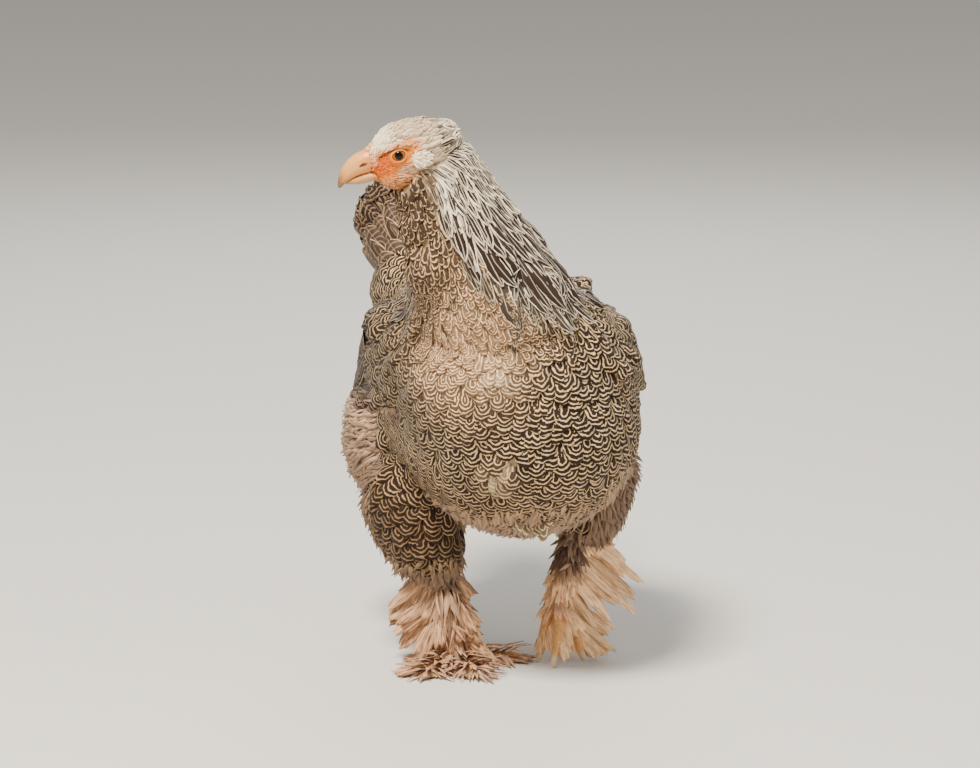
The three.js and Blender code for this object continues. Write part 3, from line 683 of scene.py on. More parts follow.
BODY_VANE = marked_vane_finish("feather_keratin_body", 0.68, 1.1)
HACKLE_VANE = marked_vane_finish("feather_keratin_hackle", 0.5, 1.0)
TAIL_VANE = marked_vane_finish("feather_keratin_tail", 0.55, 1.3)
print("marked feather finishes:", BODY_VANE.name, HACKLE_VANE.name, TAIL_VANE.name)

# %% [markdown]
# Down has no hooked barbs, so it stands open, looks soft and takes no gloss. The feathers on the feet
# are worn and dusty, streaked along their length, with paler shafts.

# %% The finishes of down and of worn feathers
def down_finish(name, streak):
    """Streak is the width of the streaks along a lock in millimetres."""
    finish, tree, shader = new_finish(name, Roughness=0.85, Sheen_Weight=0.1, Sheen_Roughness=0.6)
    shader.inputs["Specular IOR Level"].default_value = 0.15
    from_shaft, past_tip, _ = parts_of(tree, "vane")
    ground = read_attribute(tree, "ground").outputs["Color"]
    ink = read_attribute(tree, "ink")
    own_place = read_attribute(tree, "wander").outputs["Fac"]
    drawn_out = maths(tree, "MULTIPLY", past_tip, 0.08)
    place = add(tree, "ShaderNodeCombineXYZ", {0: from_shaft, 1: drawn_out, 2: own_place}).outputs[0]
    inputs = {"Vector": place, "Scale": 1 / streak, "Detail": 3.0}
    streaks = add(tree, "ShaderNodeTexNoise", inputs).outputs["Fac"]
    amount = maths(tree, "MULTIPLY", step(tree, streaks, 0.42, 0.62), ink.outputs["Alpha"])
    shade = maths(tree, "ADD", 0.7, maths(tree, "MULTIPLY", noise(tree, 9, 3.0), 0.6))
    paint(tree, shader, blend(tree, amount, ground, ink.outputs["Color"]), shade)
    emboss(tree, shader, streaks, 0.4, 0.4)
    return finish


DOWN = down_finish("feather_keratin_down", 1.2)
WORN_VANE = down_finish("feather_keratin_worn", 0.9)
print("soft finishes:", DOWN.name, WORN_VANE.name)

# %% [markdown]
# One feather is modelled by hand and then copied. A flat grid is narrowed row by row to the outline of
# the feather and given a thin wall. The rows' heights and half widths are shares of the feather's own.
# Body feathers have a broad round tip, hackle feathers a point, and down is a slim lock.

# %% One feather of each kind
CLEAR = 4


def vane_shape(name, rows, widths, cells, wall):
    """Models a feather of half width 1 and length 1 and returns its vertices and triangles.

    Each row is moved clear of the rows still to be shaped, as rows are picked by their height.
    """
    bpy.ops.object.select_all(action="DESELECT")
    grid = {"x_subdivisions": cells, "y_subdivisions": len(rows) - 1, "size": 2}
    bpy.ops.mesh.primitive_grid_add(**grid, location=(0, 0, 0))
    blade = bpy.context.object
    bpy.ops.object.mode_set(mode="EDIT")
    heights = sorted({round(vertex.co.y, 4) for vertex in blade.data.vertices})
    for level, (row, width) in enumerate(zip(rows, widths)):
        bpy.ops.mesh.select_all(action="DESELECT")
        bpy.ops.object.mode_set(mode="OBJECT")
        for vertex in blade.data.vertices:
            vertex.select = abs(vertex.co.y - heights[level]) < 1e-3
        bpy.ops.object.mode_set(mode="EDIT")
        bpy.ops.transform.resize(value=(width, 1, 1), center_override=(0, 0, 0))
        bpy.ops.transform.translate(value=(0, CLEAR + row - heights[level], 0))
    bpy.ops.object.mode_set(mode="OBJECT")
    apply_modifier(blade, "SOLIDIFY", thickness=wall, offset=0)
    apply_modifier(blade, "TRIANGULATE")
    points = np.array([vertex.co[:] for vertex in blade.data.vertices]) - [0, CLEAR, 0]
    faces = np.array([list(face.vertices) for face in blade.data.polygons])
    bpy.data.objects.remove(blade)
    level = np.abs(points[:, 1:2] - np.array(rows)[None]).argmin(1)
    share = points[:, 0] / np.maximum(np.array(widths)[level], 1e-3)
    shape = {"rows": np.array(rows), "widths": np.array(widths), "level": level}
    shape |= {"across": np.clip(share, -1, 1), "wall": points[:, 2], "faces": faces}
    print(name, "has", len(faces), "triangles")
    return shape


FEATHER_ROWS = [0, 0.4, 0.66, 0.82, 0.93, 1], [0.45, 0.95, 1, 0.86, 0.6, 0.25]
QUILL_ROWS = [0, 0.3, 0.6, 0.8, 0.92, 1], [0.4, 0.85, 1, 0.88, 0.62, 0.25]
POINTED_ROWS = [0, 0.25, 0.5, 0.72, 0.88, 1], [0.5, 0.92, 1, 0.9, 0.62, 0.12]
FRAYED_ROWS = [0, 0.25, 0.5, 0.75, 0.9, 1], [0.3, 0.7, 1, 0.95, 0.8, 0.5]
BODY_SHAPE = vane_shape("body feather", *FEATHER_ROWS, cells=2, wall=0.3)
BROAD_SHAPE = vane_shape("broad feather", *QUILL_ROWS, cells=2, wall=0.4)
HACKLE_SHAPE = vane_shape("hackle feather", *POINTED_ROWS, cells=2, wall=0.3)
SMALL_SHAPE = vane_shape("small feather", [0, 0.5, 0.85, 1], [0.5, 1, 0.75, 0.2], cells=2, wall=0.35)
LOCK_SHAPE = vane_shape("lock of down", [0, 0.55, 1], [0.7, 1, 0.12], cells=1, wall=0.5)
WORN_SHAPE = vane_shape("worn feather", *FRAYED_ROWS, cells=4, wall=0.6)

# %% [markdown]
# Two ways of placing a feather. One that lies on the body is walked over the skin row by row, with its
# edges landed on the skin too, so it bends round the body, and it rises from root to tip so that the
# next row tucks under it. One that stands free follows a bent line of its own, and is pressed flatter
# where it would go through the floor.

# %% Laying and standing feathers
ROOT_DEPTH = 1.2
NARROWEST = 0.3
DROOP = 0.12


def lay_lines(roots, heading, length, half, shape, base, lift):
    """Centre, left and right points and normals of every row, for feathers laid on the skin."""
    here, faces, shares = land(roots)
    ahead = heading
    centre, left, right, up = [], [], [], []
    for row, width in zip(shape["rows"], shape["widths"]):
        if centre:
            here, faces, shares = land(here + ahead * ((row - last_row) * length)[:, None])
        last_row = row
        normal = unit(read(soft_normals, faces, shares))
        ahead = along_surface(ahead, normal)
        across = np.cross(ahead, normal)
        reach = (half * max(width, NARROWEST))[:, None]
        height = (base * min(1, row * 3) + lift * row - ROOT_DEPTH * (row == 0))[:, None]
        fall = DROOP * half[:, None] * width
        centre.append(here + normal * height)
        for side, store in ((-1, left), (1, right)):
            spot, side_faces, side_shares = land(here + across * side * reach)
            away = (spot - here) * (width / max(width, NARROWEST))
            side_normal = unit(read(soft_normals, side_faces, side_shares))
            store.append(here + away + side_normal * (height - fall))
        up.append(normal)
    return tuple(np.stack(rows, 1) for rows in (centre, left, right, up))


FLOOR_GAP = 1.6


def stand_lines(roots, heading, normal, length, half, shape, bend=0.0, cup=0.1, roll=0.0):
    """The same for feathers that stand free.

    Bend turns the tip towards the normal, in shares of the length. Cup lowers both edges, in shares
    of the half width, and roll turns the feather about its shaft.
    """
    normal = along_surface(normal, heading)
    across = np.cross(heading, normal)
    across = unit(across + normal * np.reshape(roll, (-1, 1)))
    rows = shape["rows"][None, :, None]
    span = length[:, None, None]
    straight = roots[:, None] + heading[:, None] * rows * span
    centre = straight + normal[:, None] * np.reshape(bend, (-1, 1, 1)) * span * rows**2
    widths = shape["widths"][None, :, None]
    reach = across[:, None] * half[:, None, None] * widths
    fall = normal[:, None] * cup * half[:, None, None] * widths
    lines = [centre, centre - reach - fall, centre + reach - fall]
    lowest = np.min([line[:, :, 2].min(1) for line in lines], 0)
    height = roots[:, 2]
    squeeze = np.clip((height - FLOOR_GAP) / np.maximum(height - lowest, 0.01), 0.02, 1)
    for line in lines:
        line[:, :, 2] = height[:, None] + (line[:, :, 2] - height[:, None]) * squeeze[:, None]
    return *lines, np.repeat(normal[:, None], len(shape["rows"]), 1)


def feather_points(lines, shape, rag=0.0, chance=None):
    """Bends a shape along each feather's lines. Rag splits the tips."""
    centre, left, right, up = lines
    level, across = shape["level"], shape["across"][None, :, None]
    middle, first, last, normal = (rows[:, level] for rows in (centre, left, right, up))
    cupped = ((first + last) / 2 - middle) * across**2
    points = middle + (last - first) / 2 * across + cupped + normal * shape["wall"][None, :, None]
    if rag:
        tip = (centre[:, -1] - centre[:, -2])[:, None]
        strand = np.round(shape["across"] * 2).astype(int) + 2
        cut = chance.uniform(-1, 0.3, (len(centre), 5))[:, strand]
        near_tip = shape["level"] >= len(shape["rows"]) - 2
        points = points + tip * (cut * near_tip * rag)[:, :, None]
    points[:, :, 2] = np.maximum(points[:, :, 2], FLOOR_GAP / 4)
    return points


print("feather placing ready")

# %% [markdown]
# All feathers of one kind on one part of the bird are joined in one mesh. Each carries its measures and
# its colours as attributes, which its finish reads. The arcs of the pencilling are centred one and a
# half half-widths back from the tip.

# %% Making one coat piece
ARC_CENTRE = 1.55
ATTRIBUTES = {
    "ground": ("FLOAT_COLOR", "color"),
    "ink": ("FLOAT_COLOR", "color"),
    "mark": ("FLOAT_VECTOR", "vector"),
    "wander": ("FLOAT", "value"),
}
coat_triangles = {}


def coat_piece(name, finish, shape, lines, half, length, colours, rag=0.0, chance=None):
    """Joins feathers into one mesh with its measures, colours and finish."""
    points = feather_points(lines, shape, rag, chance)
    number, each = points.shape[:2]
    faces = (shape["faces"][None] + (np.arange(number) * each)[:, None, None]).reshape(-1, 3)
    mesh = bpy.data.meshes.new(name)
    mesh.vertices.add(number * each)
    mesh.vertices.foreach_set("co", to_frame(points.reshape(-1, 3)).ravel())
    mesh.loops.add(len(faces) * 3)
    mesh.loops.foreach_set("vertex_index", faces.ravel())
    mesh.polygons.add(len(faces))
    mesh.polygons.foreach_set("loop_start", np.arange(len(faces)) * 3)
    mesh.polygons.foreach_set("use_smooth", np.ones(len(faces), bool))
    mesh.update(calc_edges=True)
    widths = shape["widths"][shape["level"]]
    rows = shape["rows"][shape["level"]]
    measures = np.stack(
        [
            shape["across"][None] * widths[None] * half[:, None],
            (rows[None] - 1) * length[:, None] + ARC_CENTRE * half[:, None],
            widths[None] * half[:, None],
        ],
        2,
    )
    mesh.attributes.new("vane", "FLOAT_VECTOR", "POINT").data.foreach_set("vector", measures.ravel())
    for field, (kind, target) in ATTRIBUTES.items():
        value = np.repeat(colours[field][:, None], each, 1)
        mesh.attributes.new(field, kind, "POINT").data.foreach_set(target, value.ravel())
    patch = np.stack([shape["across"] * BAKE_PATCH / 2, (rows - 0.5) * BAKE_PATCH], 1)
    uv = bake_place(lines[0][:, 0])[:, None] + patch[None]
    layer = mesh.uv_layers.new(name="OFBake")
    layer.data.foreach_set("uv", uv.reshape(-1, 2)[faces.ravel()].ravel())
    piece = bpy.data.objects.new(name, mesh)
    bpy.context.scene.collection.objects.link(piece)
    mesh.materials.append(finish)
    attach(piece, "root")
    coat_triangles[name] = len(faces)
    print(f"{name}: {number} feathers, {len(faces)} triangles")
    return piece


print("coat pieces ready")

# %% [markdown]
# Roots are spread evenly by dart throwing: many random spots of the skin are tried, and one is kept if
# no kept root is nearer than the local spacing. Random draws come from seeded sources, but a remesh can
# number its cells differently from run to run, so single feathers may lie elsewhere. A ray cast
# outwards from each face tells whether another part, such as a folded wing, covers it there.

# %% Spreading the roots
face_points = skin_points[skin_faces]
face_middles = face_points.mean(1)
face_sides = face_points[:, 1] - face_points[:, 0], face_points[:, 2] - face_points[:, 0]
face_areas = np.linalg.norm(np.cross(*face_sides), axis=1) / 2
face_labels = label_of(face_middles)
face_normals = unit(soft_normals[skin_faces].mean(1))
RAY_START, RAY_LENGTH = 9, 18
face_rays = [(Vector(spot), Vector(way)) for spot, way in zip(face_middles.tolist(), face_normals.tolist())]
outermost = np.array([
    solid_tree.ray_cast(spot + way * RAY_START, way, RAY_LENGTH)[0] is None for spot, way in face_rays
])


TRIES = 7


def scatter(allowed, spacing, seed):
    """Roots on the allowed faces, at least the local spacing apart."""
    chance = np.random.default_rng(seed)
    weights = np.where(allowed, face_areas / spacing**2, 0)
    number = int(weights.sum() * TRIES)
    faces = chance.choice(len(weights), number, p=weights / weights.sum())
    a, b = chance.random((2, number))
    flip = a + b > 1
    a[flip], b[flip] = 1 - a[flip], 1 - b[flip]
    shares = np.stack([1 - a - b, a, b], 1)
    spots = (face_points[faces] * shares[:, :, None]).sum(1)
    gaps = spacing[faces]
    cell = float(gaps.max())
    kept, table = [], {}
    for index, (spot, gap) in enumerate(zip(spots.tolist(), gaps.tolist())):
        key = (int(spot[0] // cell), int(spot[1] // cell), int(spot[2] // cell))
        near = (
            other
            for dx in (-1, 0, 1)
            for dy in (-1, 0, 1)
            for dz in (-1, 0, 1)
            for other in table.get((key[0] + dx, key[1] + dy, key[2] + dz), ())
        )
        if all(math.dist(spot, other) > gap for other in near):
            table.setdefault(key, []).append(spot)
            kept.append(index)
    kept = np.array(kept)
    return spots[kept], faces[kept], shares[kept]


print("open to the air:", int(outermost.sum()), "of", len(outermost), "faces")

# %% [markdown]
# What grows where. Down covers the rear, the belly and the flanks low down. Hackle hangs from the back
# and sides of the neck, but not at the throat. The head has tiny feathers round a bare face, and the
# rest has pencilled body feathers, which get shorter up the breast. Down and body feathers overlap in
# a band whose edge is random, so no line shows between them.

# %% The map of the coat
THROAT_UNDER_HEAD, THROAT_TURN = 170, 100


def neck_turn(points):
    """How far round the neck a point is from the throat, in degrees. The throat turns as it goes down."""
    centre, _ = neck_axis(points)
    angle = np.degrees(np.arctan2(points[:, 1] - centre[:, 1], points[:, 0] - centre[:, 0]))
    neck_height = NECK_TOP[2] - NECK_BOTTOM[2]
    share = np.clip((NECK_TOP[2] - points[:, 2]) / neck_height, 0, 1)
    throat = THROAT_UNDER_HEAD + THROAT_TURN * share
    return np.abs((angle - throat + 180) % 360 - 180)


def downy(points, normals, labels):
    """1 where down covers the body, 0 where pencilled feathers do."""
    x, y, z = points.T
    rear = ramp(y, 40, 80) * ramp(-z, -262, -238)
    right = ramp(-x, 40, 70) * ramp(y, 10, 34) * ramp(-z, -236, -214)
    left = ramp(x, 40, 66) * ramp(-z + 0.15 * y, -196, -170)
    belly = ramp(-normals[:, 2], 0.55, 0.8)
    thigh = is_label(labels, "thigh") * np.maximum(ramp(y, 8, 30), ramp(-z, -96, -78))
    thigh_left = is_label(labels, "thigh") * (x > 0)
    down = np.maximum.reduce([rear, right, left, belly, thigh, thigh_left * 1.0])
    return down * ~is_label(labels, "tail", "neck", "head")


face_turn = neck_turn(face_middles)
face_local = to_head(face_middles)
face_down = downy(face_middles, face_normals, face_labels)
on_head = is_label(face_labels, "head")
on_neck = is_label(face_labels, "neck")
on_leg = is_label(face_labels, "shank", "foot")
on_wing = is_label(face_labels, "wing")
on_tail = is_label(face_labels, "tail")
z = face_middles[:, 2]
open_neck = outermost | (on_neck & (z > 262) & (z < 394))
hackle_low = 318 - 30 * ramp(face_middles[:, 1], -70, 0)
hackle_zone = (on_neck & (face_turn > 46) & (z > hackle_low)) | (on_head & (face_local[:, 0] < -26))
trunk = ~on_head & ~hackle_zone & ~on_leg & ~on_wing & ~on_tail
body_zone = trunk & (face_down < np.random.default_rng(4).uniform(0.35, 0.85, len(z)))
down_zone = trunk & (face_down >= np.random.default_rng(3).uniform(0.15, 0.5, len(z)))
print("zones:", int(hackle_zone.sum()), int(body_zone.sum()), int(down_zone.sum()))

# %% [markdown]
# The markings come from the same place on the skin. Silver pencilled hens have a cream ground with dark
# brown pencilling, a warm buff bib, dark hackle laced with cream, dusty pink-grey down, and a
# cream head that turns orange where the skin is bare. Marks are in millimetres.

# %% Colours of the plumage
BIB = np.array([-60, -110, 278])
BIB_REACH = np.array([38, 46, 38])
PALE_SPOTS = np.array([[-38, -126, 260], [-40, -123, 184]])
PALE_SPOT_SIZE = 10
CREAM = linear("#f2d6a6")
STONE = linear("#b88c58")
BUFF = linear("#efc496")
DARK = linear("#1d110a")
UMBER = linear("#452c1f")
DUSTY = linear("#c4a081")
PALE_DOWN = linear("#f4dcb8")
WHITE = linear("#fff0cf")
LACE = linear("#fff0d4")
CROWN = linear("#ebcda8")


def mixed(first, second, share):
    """Mixes two colours by an amount for each point."""
    return first * (1 - share[:, None]) + second * share[:, None]


def plumage(points, normals, labels):
    """Ground, ink, mark and wander at skin points. Mark holds line spacing, rim width and share of lines."""
    x, y, z = points.T
    number = len(points)
    local = to_head(points)
    turn = neck_turn(points)
    ground = np.tile(CREAM, (number, 1))
    ink = np.tile(DARK, (number, 1))
    amount = np.full(number, 1.0)
    low_down = ramp(-z, -230, -120)
    ground = mixed(ground, STONE, 0.35 + 0.45 * low_down)
    # Painted shade: the ground is darker low down and towards her left side.
    shade = np.maximum(ramp(-z, -200, -110), 0.7 * ramp(x, 20, 80)) * 0.45
    bib = np.exp(-(((points - BIB) / BIB_REACH) ** 2).sum(1))
    ground = mixed(ground, BUFF * 1.3, np.clip(bib * 1.2, 0, 0.95))
    amount = amount * (1 - 0.22 * bib)
    ink = mixed(ink, UMBER, np.clip(bib * 1.3 + 0.2, 0, 1))
    spacing = 3.45 - 1.25 * np.clip(bib * 1.2, 0, 1)
    wander = 4.0 + 2.0 * np.clip(bib, 0, 1)
    down = downy(points, normals, labels)
    ground = mixed(ground, DUSTY, np.clip(down, 0, 1))
    for spot in PALE_SPOTS:
        patch = 0.5 * np.exp(-(((points - spot) / PALE_SPOT_SIZE) ** 2).sum(1))
        ground = mixed(ground, PALE_DOWN, patch)
        amount = amount * (1 - patch)
    laced = is_label(labels, "neck") * ramp(turn, 38, 60) * ramp(z, 285, 306)
    laced = np.maximum(laced, is_label(labels, "head") * ramp(-local[:, 0], 22, 30))
    ground = mixed(ground, LACE, laced)
    # More painted shade: darker on the thighs and high on her right side, also behind the bib.
    shade = np.maximum(shade, 0.58 * is_label(labels, "thigh"))
    shade = np.maximum(shade, 0.5 * ramp(-x, 70, 90) * ramp(z, 190, 220))
    shade = np.maximum(shade, 0.42 * ramp(-x, 40, 80) * ramp(z, 185, 215) * ramp(y, -90, -50))
    ground = ground * (1 - shade[:, None])
    rim = 0.55 + 0.35 * ramp(z, 320, 390) + 0.6 * ramp(z, 350, 392) * (1 - ramp(turn, 60, 100))
    throat = is_label(labels, "neck") * (1 - ramp(turn, 36, 60))
    amount = amount * (1 - 0.04 * throat)
    ground = mixed(ground, BUFF, 0.4 * throat)
    wander = wander - 0.5 * throat
    spacing = np.maximum(spacing - 0.5 * throat, 2.35)
    ground = mixed(ground, STONE, 0.1 * throat)
    tail = is_label(labels, "tail")
    ground = mixed(ground, linear("#b3916f"), 0.75 * tail)
    laced = np.maximum(laced, 0.6 * tail)
    return {
        "ground": np.column_stack([ground, np.ones(number)]),
        "ink": np.column_stack([ink, amount]),
        "mark": np.stack([spacing, rim, 1 - laced], 1),
        "wander": wander,
    }


def varied(colours, chance, spread):
    """The same colours, each feather a little lighter or darker."""
    made = {field: value.copy() for field, value in colours.items()}
    tone = chance.normal(1, spread, (len(made["wander"]), 1)).clip(0.6, 1.5)
    made["ground"][:, :3] *= tone
    made["ink"][:, :3] *= tone
    return made


print("plumage colours ready")

# %% [markdown]
# Down first, as it is the lowest layer of the coat: thousands of slim locks that lie along the body
# and stand off it by a few degrees, denser than the feathers.

# %% Down
def stand_on_skin(zone, gap, seed, length, width, rise, shape, sway=0.35, depth=0.8, growth=None):
    """Locks that stand off the skin at an angle, with their tips turned back to it.

    Rise is the slope off the skin, sway the scatter of the directions and depth how deep roots are set.
    """
    roots, faces, shares = scatter(zone, gap, seed)
    chance = np.random.default_rng(seed + 1)
    normal = unit(read(soft_normals, faces, shares))
    lie = along_surface(read(skin_lie, faces, shares) + chance.normal(0, sway, (len(roots), 3)), normal)
    lift = np.clip(chance.normal(rise, 0.1, len(roots)), 0.05, 1.2)[:, None]
    heading = unit(lie + normal * lift)
    grown = np.ones(len(roots)) if growth is None else growth[faces]
    spans = length * grown * chance.uniform(0.75, 1.25, len(roots))
    halves = width / 2 * grown * chance.uniform(0.8, 1.2, len(roots))
    roll = chance.normal(0, 0.3, len(roots))
    bend = -lift[:, 0] * 0.35
    lines = stand_lines(roots - normal * depth, heading, normal, spans, halves, shape, bend, 0.15, roll)
    colours = varied(plumage(roots, normal, face_labels[faces]), chance, 0.1)
    return lines, halves, spans, colours, chance


def own_colours(number, ground, ink, amount, chance, spread=0.1):
    """One ground and one ink colour for a whole piece, each feather a little lighter or darker."""
    colours = {
        "ground": np.column_stack([np.tile(ground, (number, 1)), np.ones(number)]),
        "ink": np.column_stack([np.tile(ink, (number, 1)), np.full(number, amount)]),
        "mark": np.tile([3.2, 0.8, 0.0], (number, 1)),
        "wander": chance.uniform(0, 50, number),
    }
    return varied(colours, chance, spread)


SIDES = {"left": 1, "right": -1}
MIDLINE = -14
DOWN_SHADE = linear("#6a5443")
behind = face_middles[:, 1] > 90
under_feathers = (z > 222) & (face_middles[:, 1] < 0)
for side, sign in SIDES.items():
    on_this_side = sign * (face_middles[:, 0] - MIDLINE) > 0
    zone = down_zone & ~under_feathers & (outermost | behind) & on_this_side
    gap = np.full(len(zone), 2.7)
    lines, halves, spans, colours, chance = stand_on_skin(
        zone, gap, seed=11, length=15, width=3.2, rise=0.34, shape=LOCK_SHAPE, depth=0.4
    )
    colours["ink"] = np.column_stack([np.tile(DOWN_SHADE, (len(halves), 1)), np.full(len(halves), 0.5)])
    colours["wander"] = chance.uniform(0, 50, len(halves))
    coat_piece(f"down_{side}", DOWN, LOCK_SHAPE, lines, halves, spans, colours)

# %% Pencilled body feathers
def laid_coat(name, slot, finish, shape, zone, gap, seed, length, half, base, lift, sway=0.12, rag=0.0):
    """A piece of feathers laid on the skin, from their size at each face of it.

    Base is the height over the skin near the root, and lift how much more it is at the tip.
    """
    roots, faces, shares = scatter(zone, gap, seed)
    chance = np.random.default_rng(seed + 1)
    normal = unit(read(soft_normals, faces, shares))
    heading = along_surface(read(skin_lie, faces, shares) + chance.normal(0, sway, (len(roots), 3)), normal)
    spans = length[faces] * chance.uniform(0.9, 1.1, len(roots))
    halves = half[faces] * chance.uniform(0.9, 1.1, len(roots))
    lifts = lift[faces] * chance.uniform(0.8, 1.3, len(roots))
    bases = base + chance.uniform(0, 0.7, len(roots))
    lines = lay_lines(roots, heading, spans, halves, shape, bases, lifts)
    colours = varied(plumage(roots, normal, face_labels[faces]), chance, 0.08)
    return coat_piece(name, finish, shape, lines, halves, spans, colours, rag, chance)


on_bib = np.exp(-(((face_middles - BIB) / [38, 46, 36]) ** 2).sum(1))
small = np.maximum(ramp(z, 250, 330), 0.9 * on_bib)
body_size = {
    "gap": 7.1 - 2.7 * small,
    "length": 26 - 10 * small,
    "half": 7.6 - 3.2 * small,
    "lift": 2.0 - 0.6 * small,
    "base": 0.5,
    "sway": 0.16,
    "rag": 0.25,
}
high = z > 232
left_side = face_middles[:, 0] > MIDLINE
throat_zone = body_zone & on_neck & (z > 262)
quarters = {
    "breast_left": high & left_side,
    "breast_right": high & ~left_side,
    "belly_left": ~high & left_side,
    "belly_right": ~high & ~left_side,
}
for name, part in quarters.items():
    zone = body_zone & outermost & part & ~throat_zone
    piece_name = f"feathers_{name}"
    laid_coat(piece_name, "pencilled", BODY_VANE, BODY_SHAPE, zone, seed=21, **body_size)

# %% A tuft under the belly
TUFT = 12
TUFT_AT = np.array([6.0, -92, 136])
TUFT_WAY = np.array([-0.62, -0.3, -0.6])
chance = np.random.default_rng(27)
roots = TUFT_AT + chance.normal(0, [7, 3, 2.5], (TUFT, 3))
headings = unit(TUFT_WAY + chance.normal(0, 0.22, (TUFT, 3)))
lengths, halves = chance.uniform(13, 21, TUFT), chance.uniform(3, 4.4, TUFT)
facings = np.tile([0, -1.0, 0], (TUFT, 1))
roll = chance.normal(0, 0.3, TUFT)
lines = stand_lines(roots, headings, facings, lengths, halves, BODY_SHAPE, 0.08, 0.3, roll)
colours = own_colours(TUFT, linear("#ffe2b4"), UMBER, 0.8, chance)
colours["mark"][:] = [3.6, 0.8, 1.0]
colours["wander"][:] = 3
coat_piece("belly_tuft", BODY_VANE, BODY_SHAPE, lines, halves, lengths, colours, 0.5, chance)

# %% Throat and bib feathers
lower = ramp(z, 400, 270)
throat_size = {
    "gap": 3.0 + 1.3 * lower,
    "length": 13 + 9 * lower,
    "half": 1.9 + 1.7 * lower,
    "lift": 1.2 + 0.8 * lower,
    "base": 0.5,
    "sway": 0.24,
    "rag": 0.3,
}
zone = throat_zone & open_neck
laid_coat("throat_feathers", "pencilled", BODY_VANE, BODY_SHAPE, zone, seed=25, **throat_size)

# %% [markdown]
# The wings are folded flat. The long flight feathers are laid along their lower edge first, and the
# pencilled coverts cover their roots.

# %% Wings
QUILL_LIFT = 1.6
WING_TIERS = [
    {"count": 5, "from": (94, 30, 224), "to": (97, 12, 206), "length": 98, "half": 8, "base": 3.4},
    {"count": 9, "from": (80, 8, 268), "to": (98, 8, 216), "length": 90, "half": 11, "base": 4.4},
]
for side, sign in SIDES.items():
    chance = np.random.default_rng(61)
    roots, headings, lengths, halves, bases = [], [], [], [], []
    for tier in WING_TIERS:
        for share in np.linspace(0, 1, tier["count"]):
            spot = np.array(tier["from"]) * (1 - share) + np.array(tier["to"]) * share
            roots.append(spot * [sign, 1, 1])
            headings.append([0, 1, -0.26 * (1 - share) - 0.06 * share])
            lengths.append(tier["length"] * chance.uniform(0.95, 1.05))
            halves.append(tier["half"])
            bases.append(tier["base"] + 0.25 * (1 - share) * tier["count"])
    lengths, halves, bases = (np.array(values, float) for values in (lengths, halves, bases))
    roots, faces, shares = land(np.array(roots))
    headings = along_surface(unit(np.array(headings)), unit(read(soft_normals, faces, shares)))
    lines = lay_lines(roots, headings, lengths, halves, BROAD_SHAPE, bases, np.full(len(bases), QUILL_LIFT))
    colours = own_colours(len(roots), linear("#a8947c"), DARK, 1.0, chance)
    colours["mark"][:] = [3.6, 0.8, 0.35]
    colours["wander"][:] = 3
    quills = f"wing_quills_{side}"
    coat_piece(quills, BODY_VANE, BROAD_SHAPE, lines, halves, lengths, colours, 0.1, chance)
    zone = on_wing & (outermost | (face_middles[:, 1] > 66)) & (sign * face_middles[:, 0] > 0)
    covert_size = {"gap": 7.2, "length": 27, "half": 7.6, "lift": 2.4}
    size = {key: np.full(len(z), float(value)) for key, value in covert_size.items()}
    coverts = f"wing_coverts_{side}"
    laid_coat(coverts, "pencilled", BODY_VANE, BODY_SHAPE, zone, seed=31, base=0.7, rag=0.2, **size)

# %% [markdown]
# Hackle feathers are long and pointed, nearly black inside a cream rim, short behind the head and
# longest over the shoulders.

# %% Hackle
high_up = ramp(z, 325, 405)
hackle_size = {
    "gap": 8.4 - 4.9 * high_up,
    "length": 60 - 42 * high_up,
    "half": 5.6 - 3.2 * high_up,
    "lift": 2.8 - 1.6 * high_up,
    "base": 0.7,
    "sway": 0.1,
}
before_neck = face_middles[:, 1] < -62
for side, part in (("left", before_neck), ("right", ~before_neck)):
    zone = hackle_zone & open_neck & part
    laid_coat(f"hackle_{side}", "hackle", HACKLE_VANE, HACKLE_SHAPE, zone, seed=41, **hackle_size)

# %% [markdown]
# The tail is short and spread like a roof, swung to her right. The quills stand free in two tiers over a
# core, and coverts lie on the core.

# %% Tail
TAIL_ROOT, TAIL_TIP = np.array([-12.0, 110, 268]), np.array([-36.0, 184, 332])
CORE_WIDE, CORE_HIGH = 34, 24
TAIL_TIERS = [
    {"per_side": 9, "back": 0.2, "length": 84, "half": 11, "spread": 0.32, "rise": 0},
    {"per_side": 8, "back": 0.06, "length": 70, "half": 12, "spread": 0.4, "rise": 3},
    {"per_side": 8, "back": -0.08, "length": 54, "half": 12, "spread": 0.46, "rise": 6},
]
axis = TAIL_TIP - TAIL_ROOT
tail_ahead = unit(axis)
tail_across = unit(np.array([1.0, 0, 0]) - tail_ahead * tail_ahead[0])
tail_up = np.cross(tail_across, tail_ahead)
chance = np.random.default_rng(71)
roots, headings, outs, lengths, halves = [], [], [], [], []
for tier in TAIL_TIERS:
    for side in (-1, 1):
        for index, share in enumerate(np.linspace(0, 1, tier["per_side"])):
            turn = math.radians(5 + 107 * share)
            aside, upward = tail_across * math.sin(turn) * side, tail_up * math.cos(turn)
            out = aside + upward
            root = TAIL_ROOT + axis * tier["back"] + aside * CORE_WIDE + upward * CORE_HIGH
            roots.append(root + out * (tier["rise"] - 1.1 * index))
            headings.append(tail_ahead + out * tier["spread"])
            outs.append(out)
            lengths.append(tier["length"] * (1 - 0.2 * share) * chance.uniform(0.96, 1.04))
            halves.append(tier["half"])
roots, headings, outs = np.array(roots), unit(np.array(headings)), np.array(outs)
lengths, halves = np.array(lengths), np.array(halves, float)
roll = chance.normal(0, 0.12, len(roots))
lines = stand_lines(roots, headings, outs, lengths, halves, BROAD_SHAPE, -0.06, 0.15, roll)
colours = own_colours(len(roots), linear("#cfae88"), linear("#46352a"), 1.0, chance)
colours["mark"][:] = [4.0, 0.7, 0.25]
colours["wander"][:] = 3
coat_piece("tail_quills", TAIL_VANE, BROAD_SHAPE, lines, halves, lengths, colours, 0.08, chance)
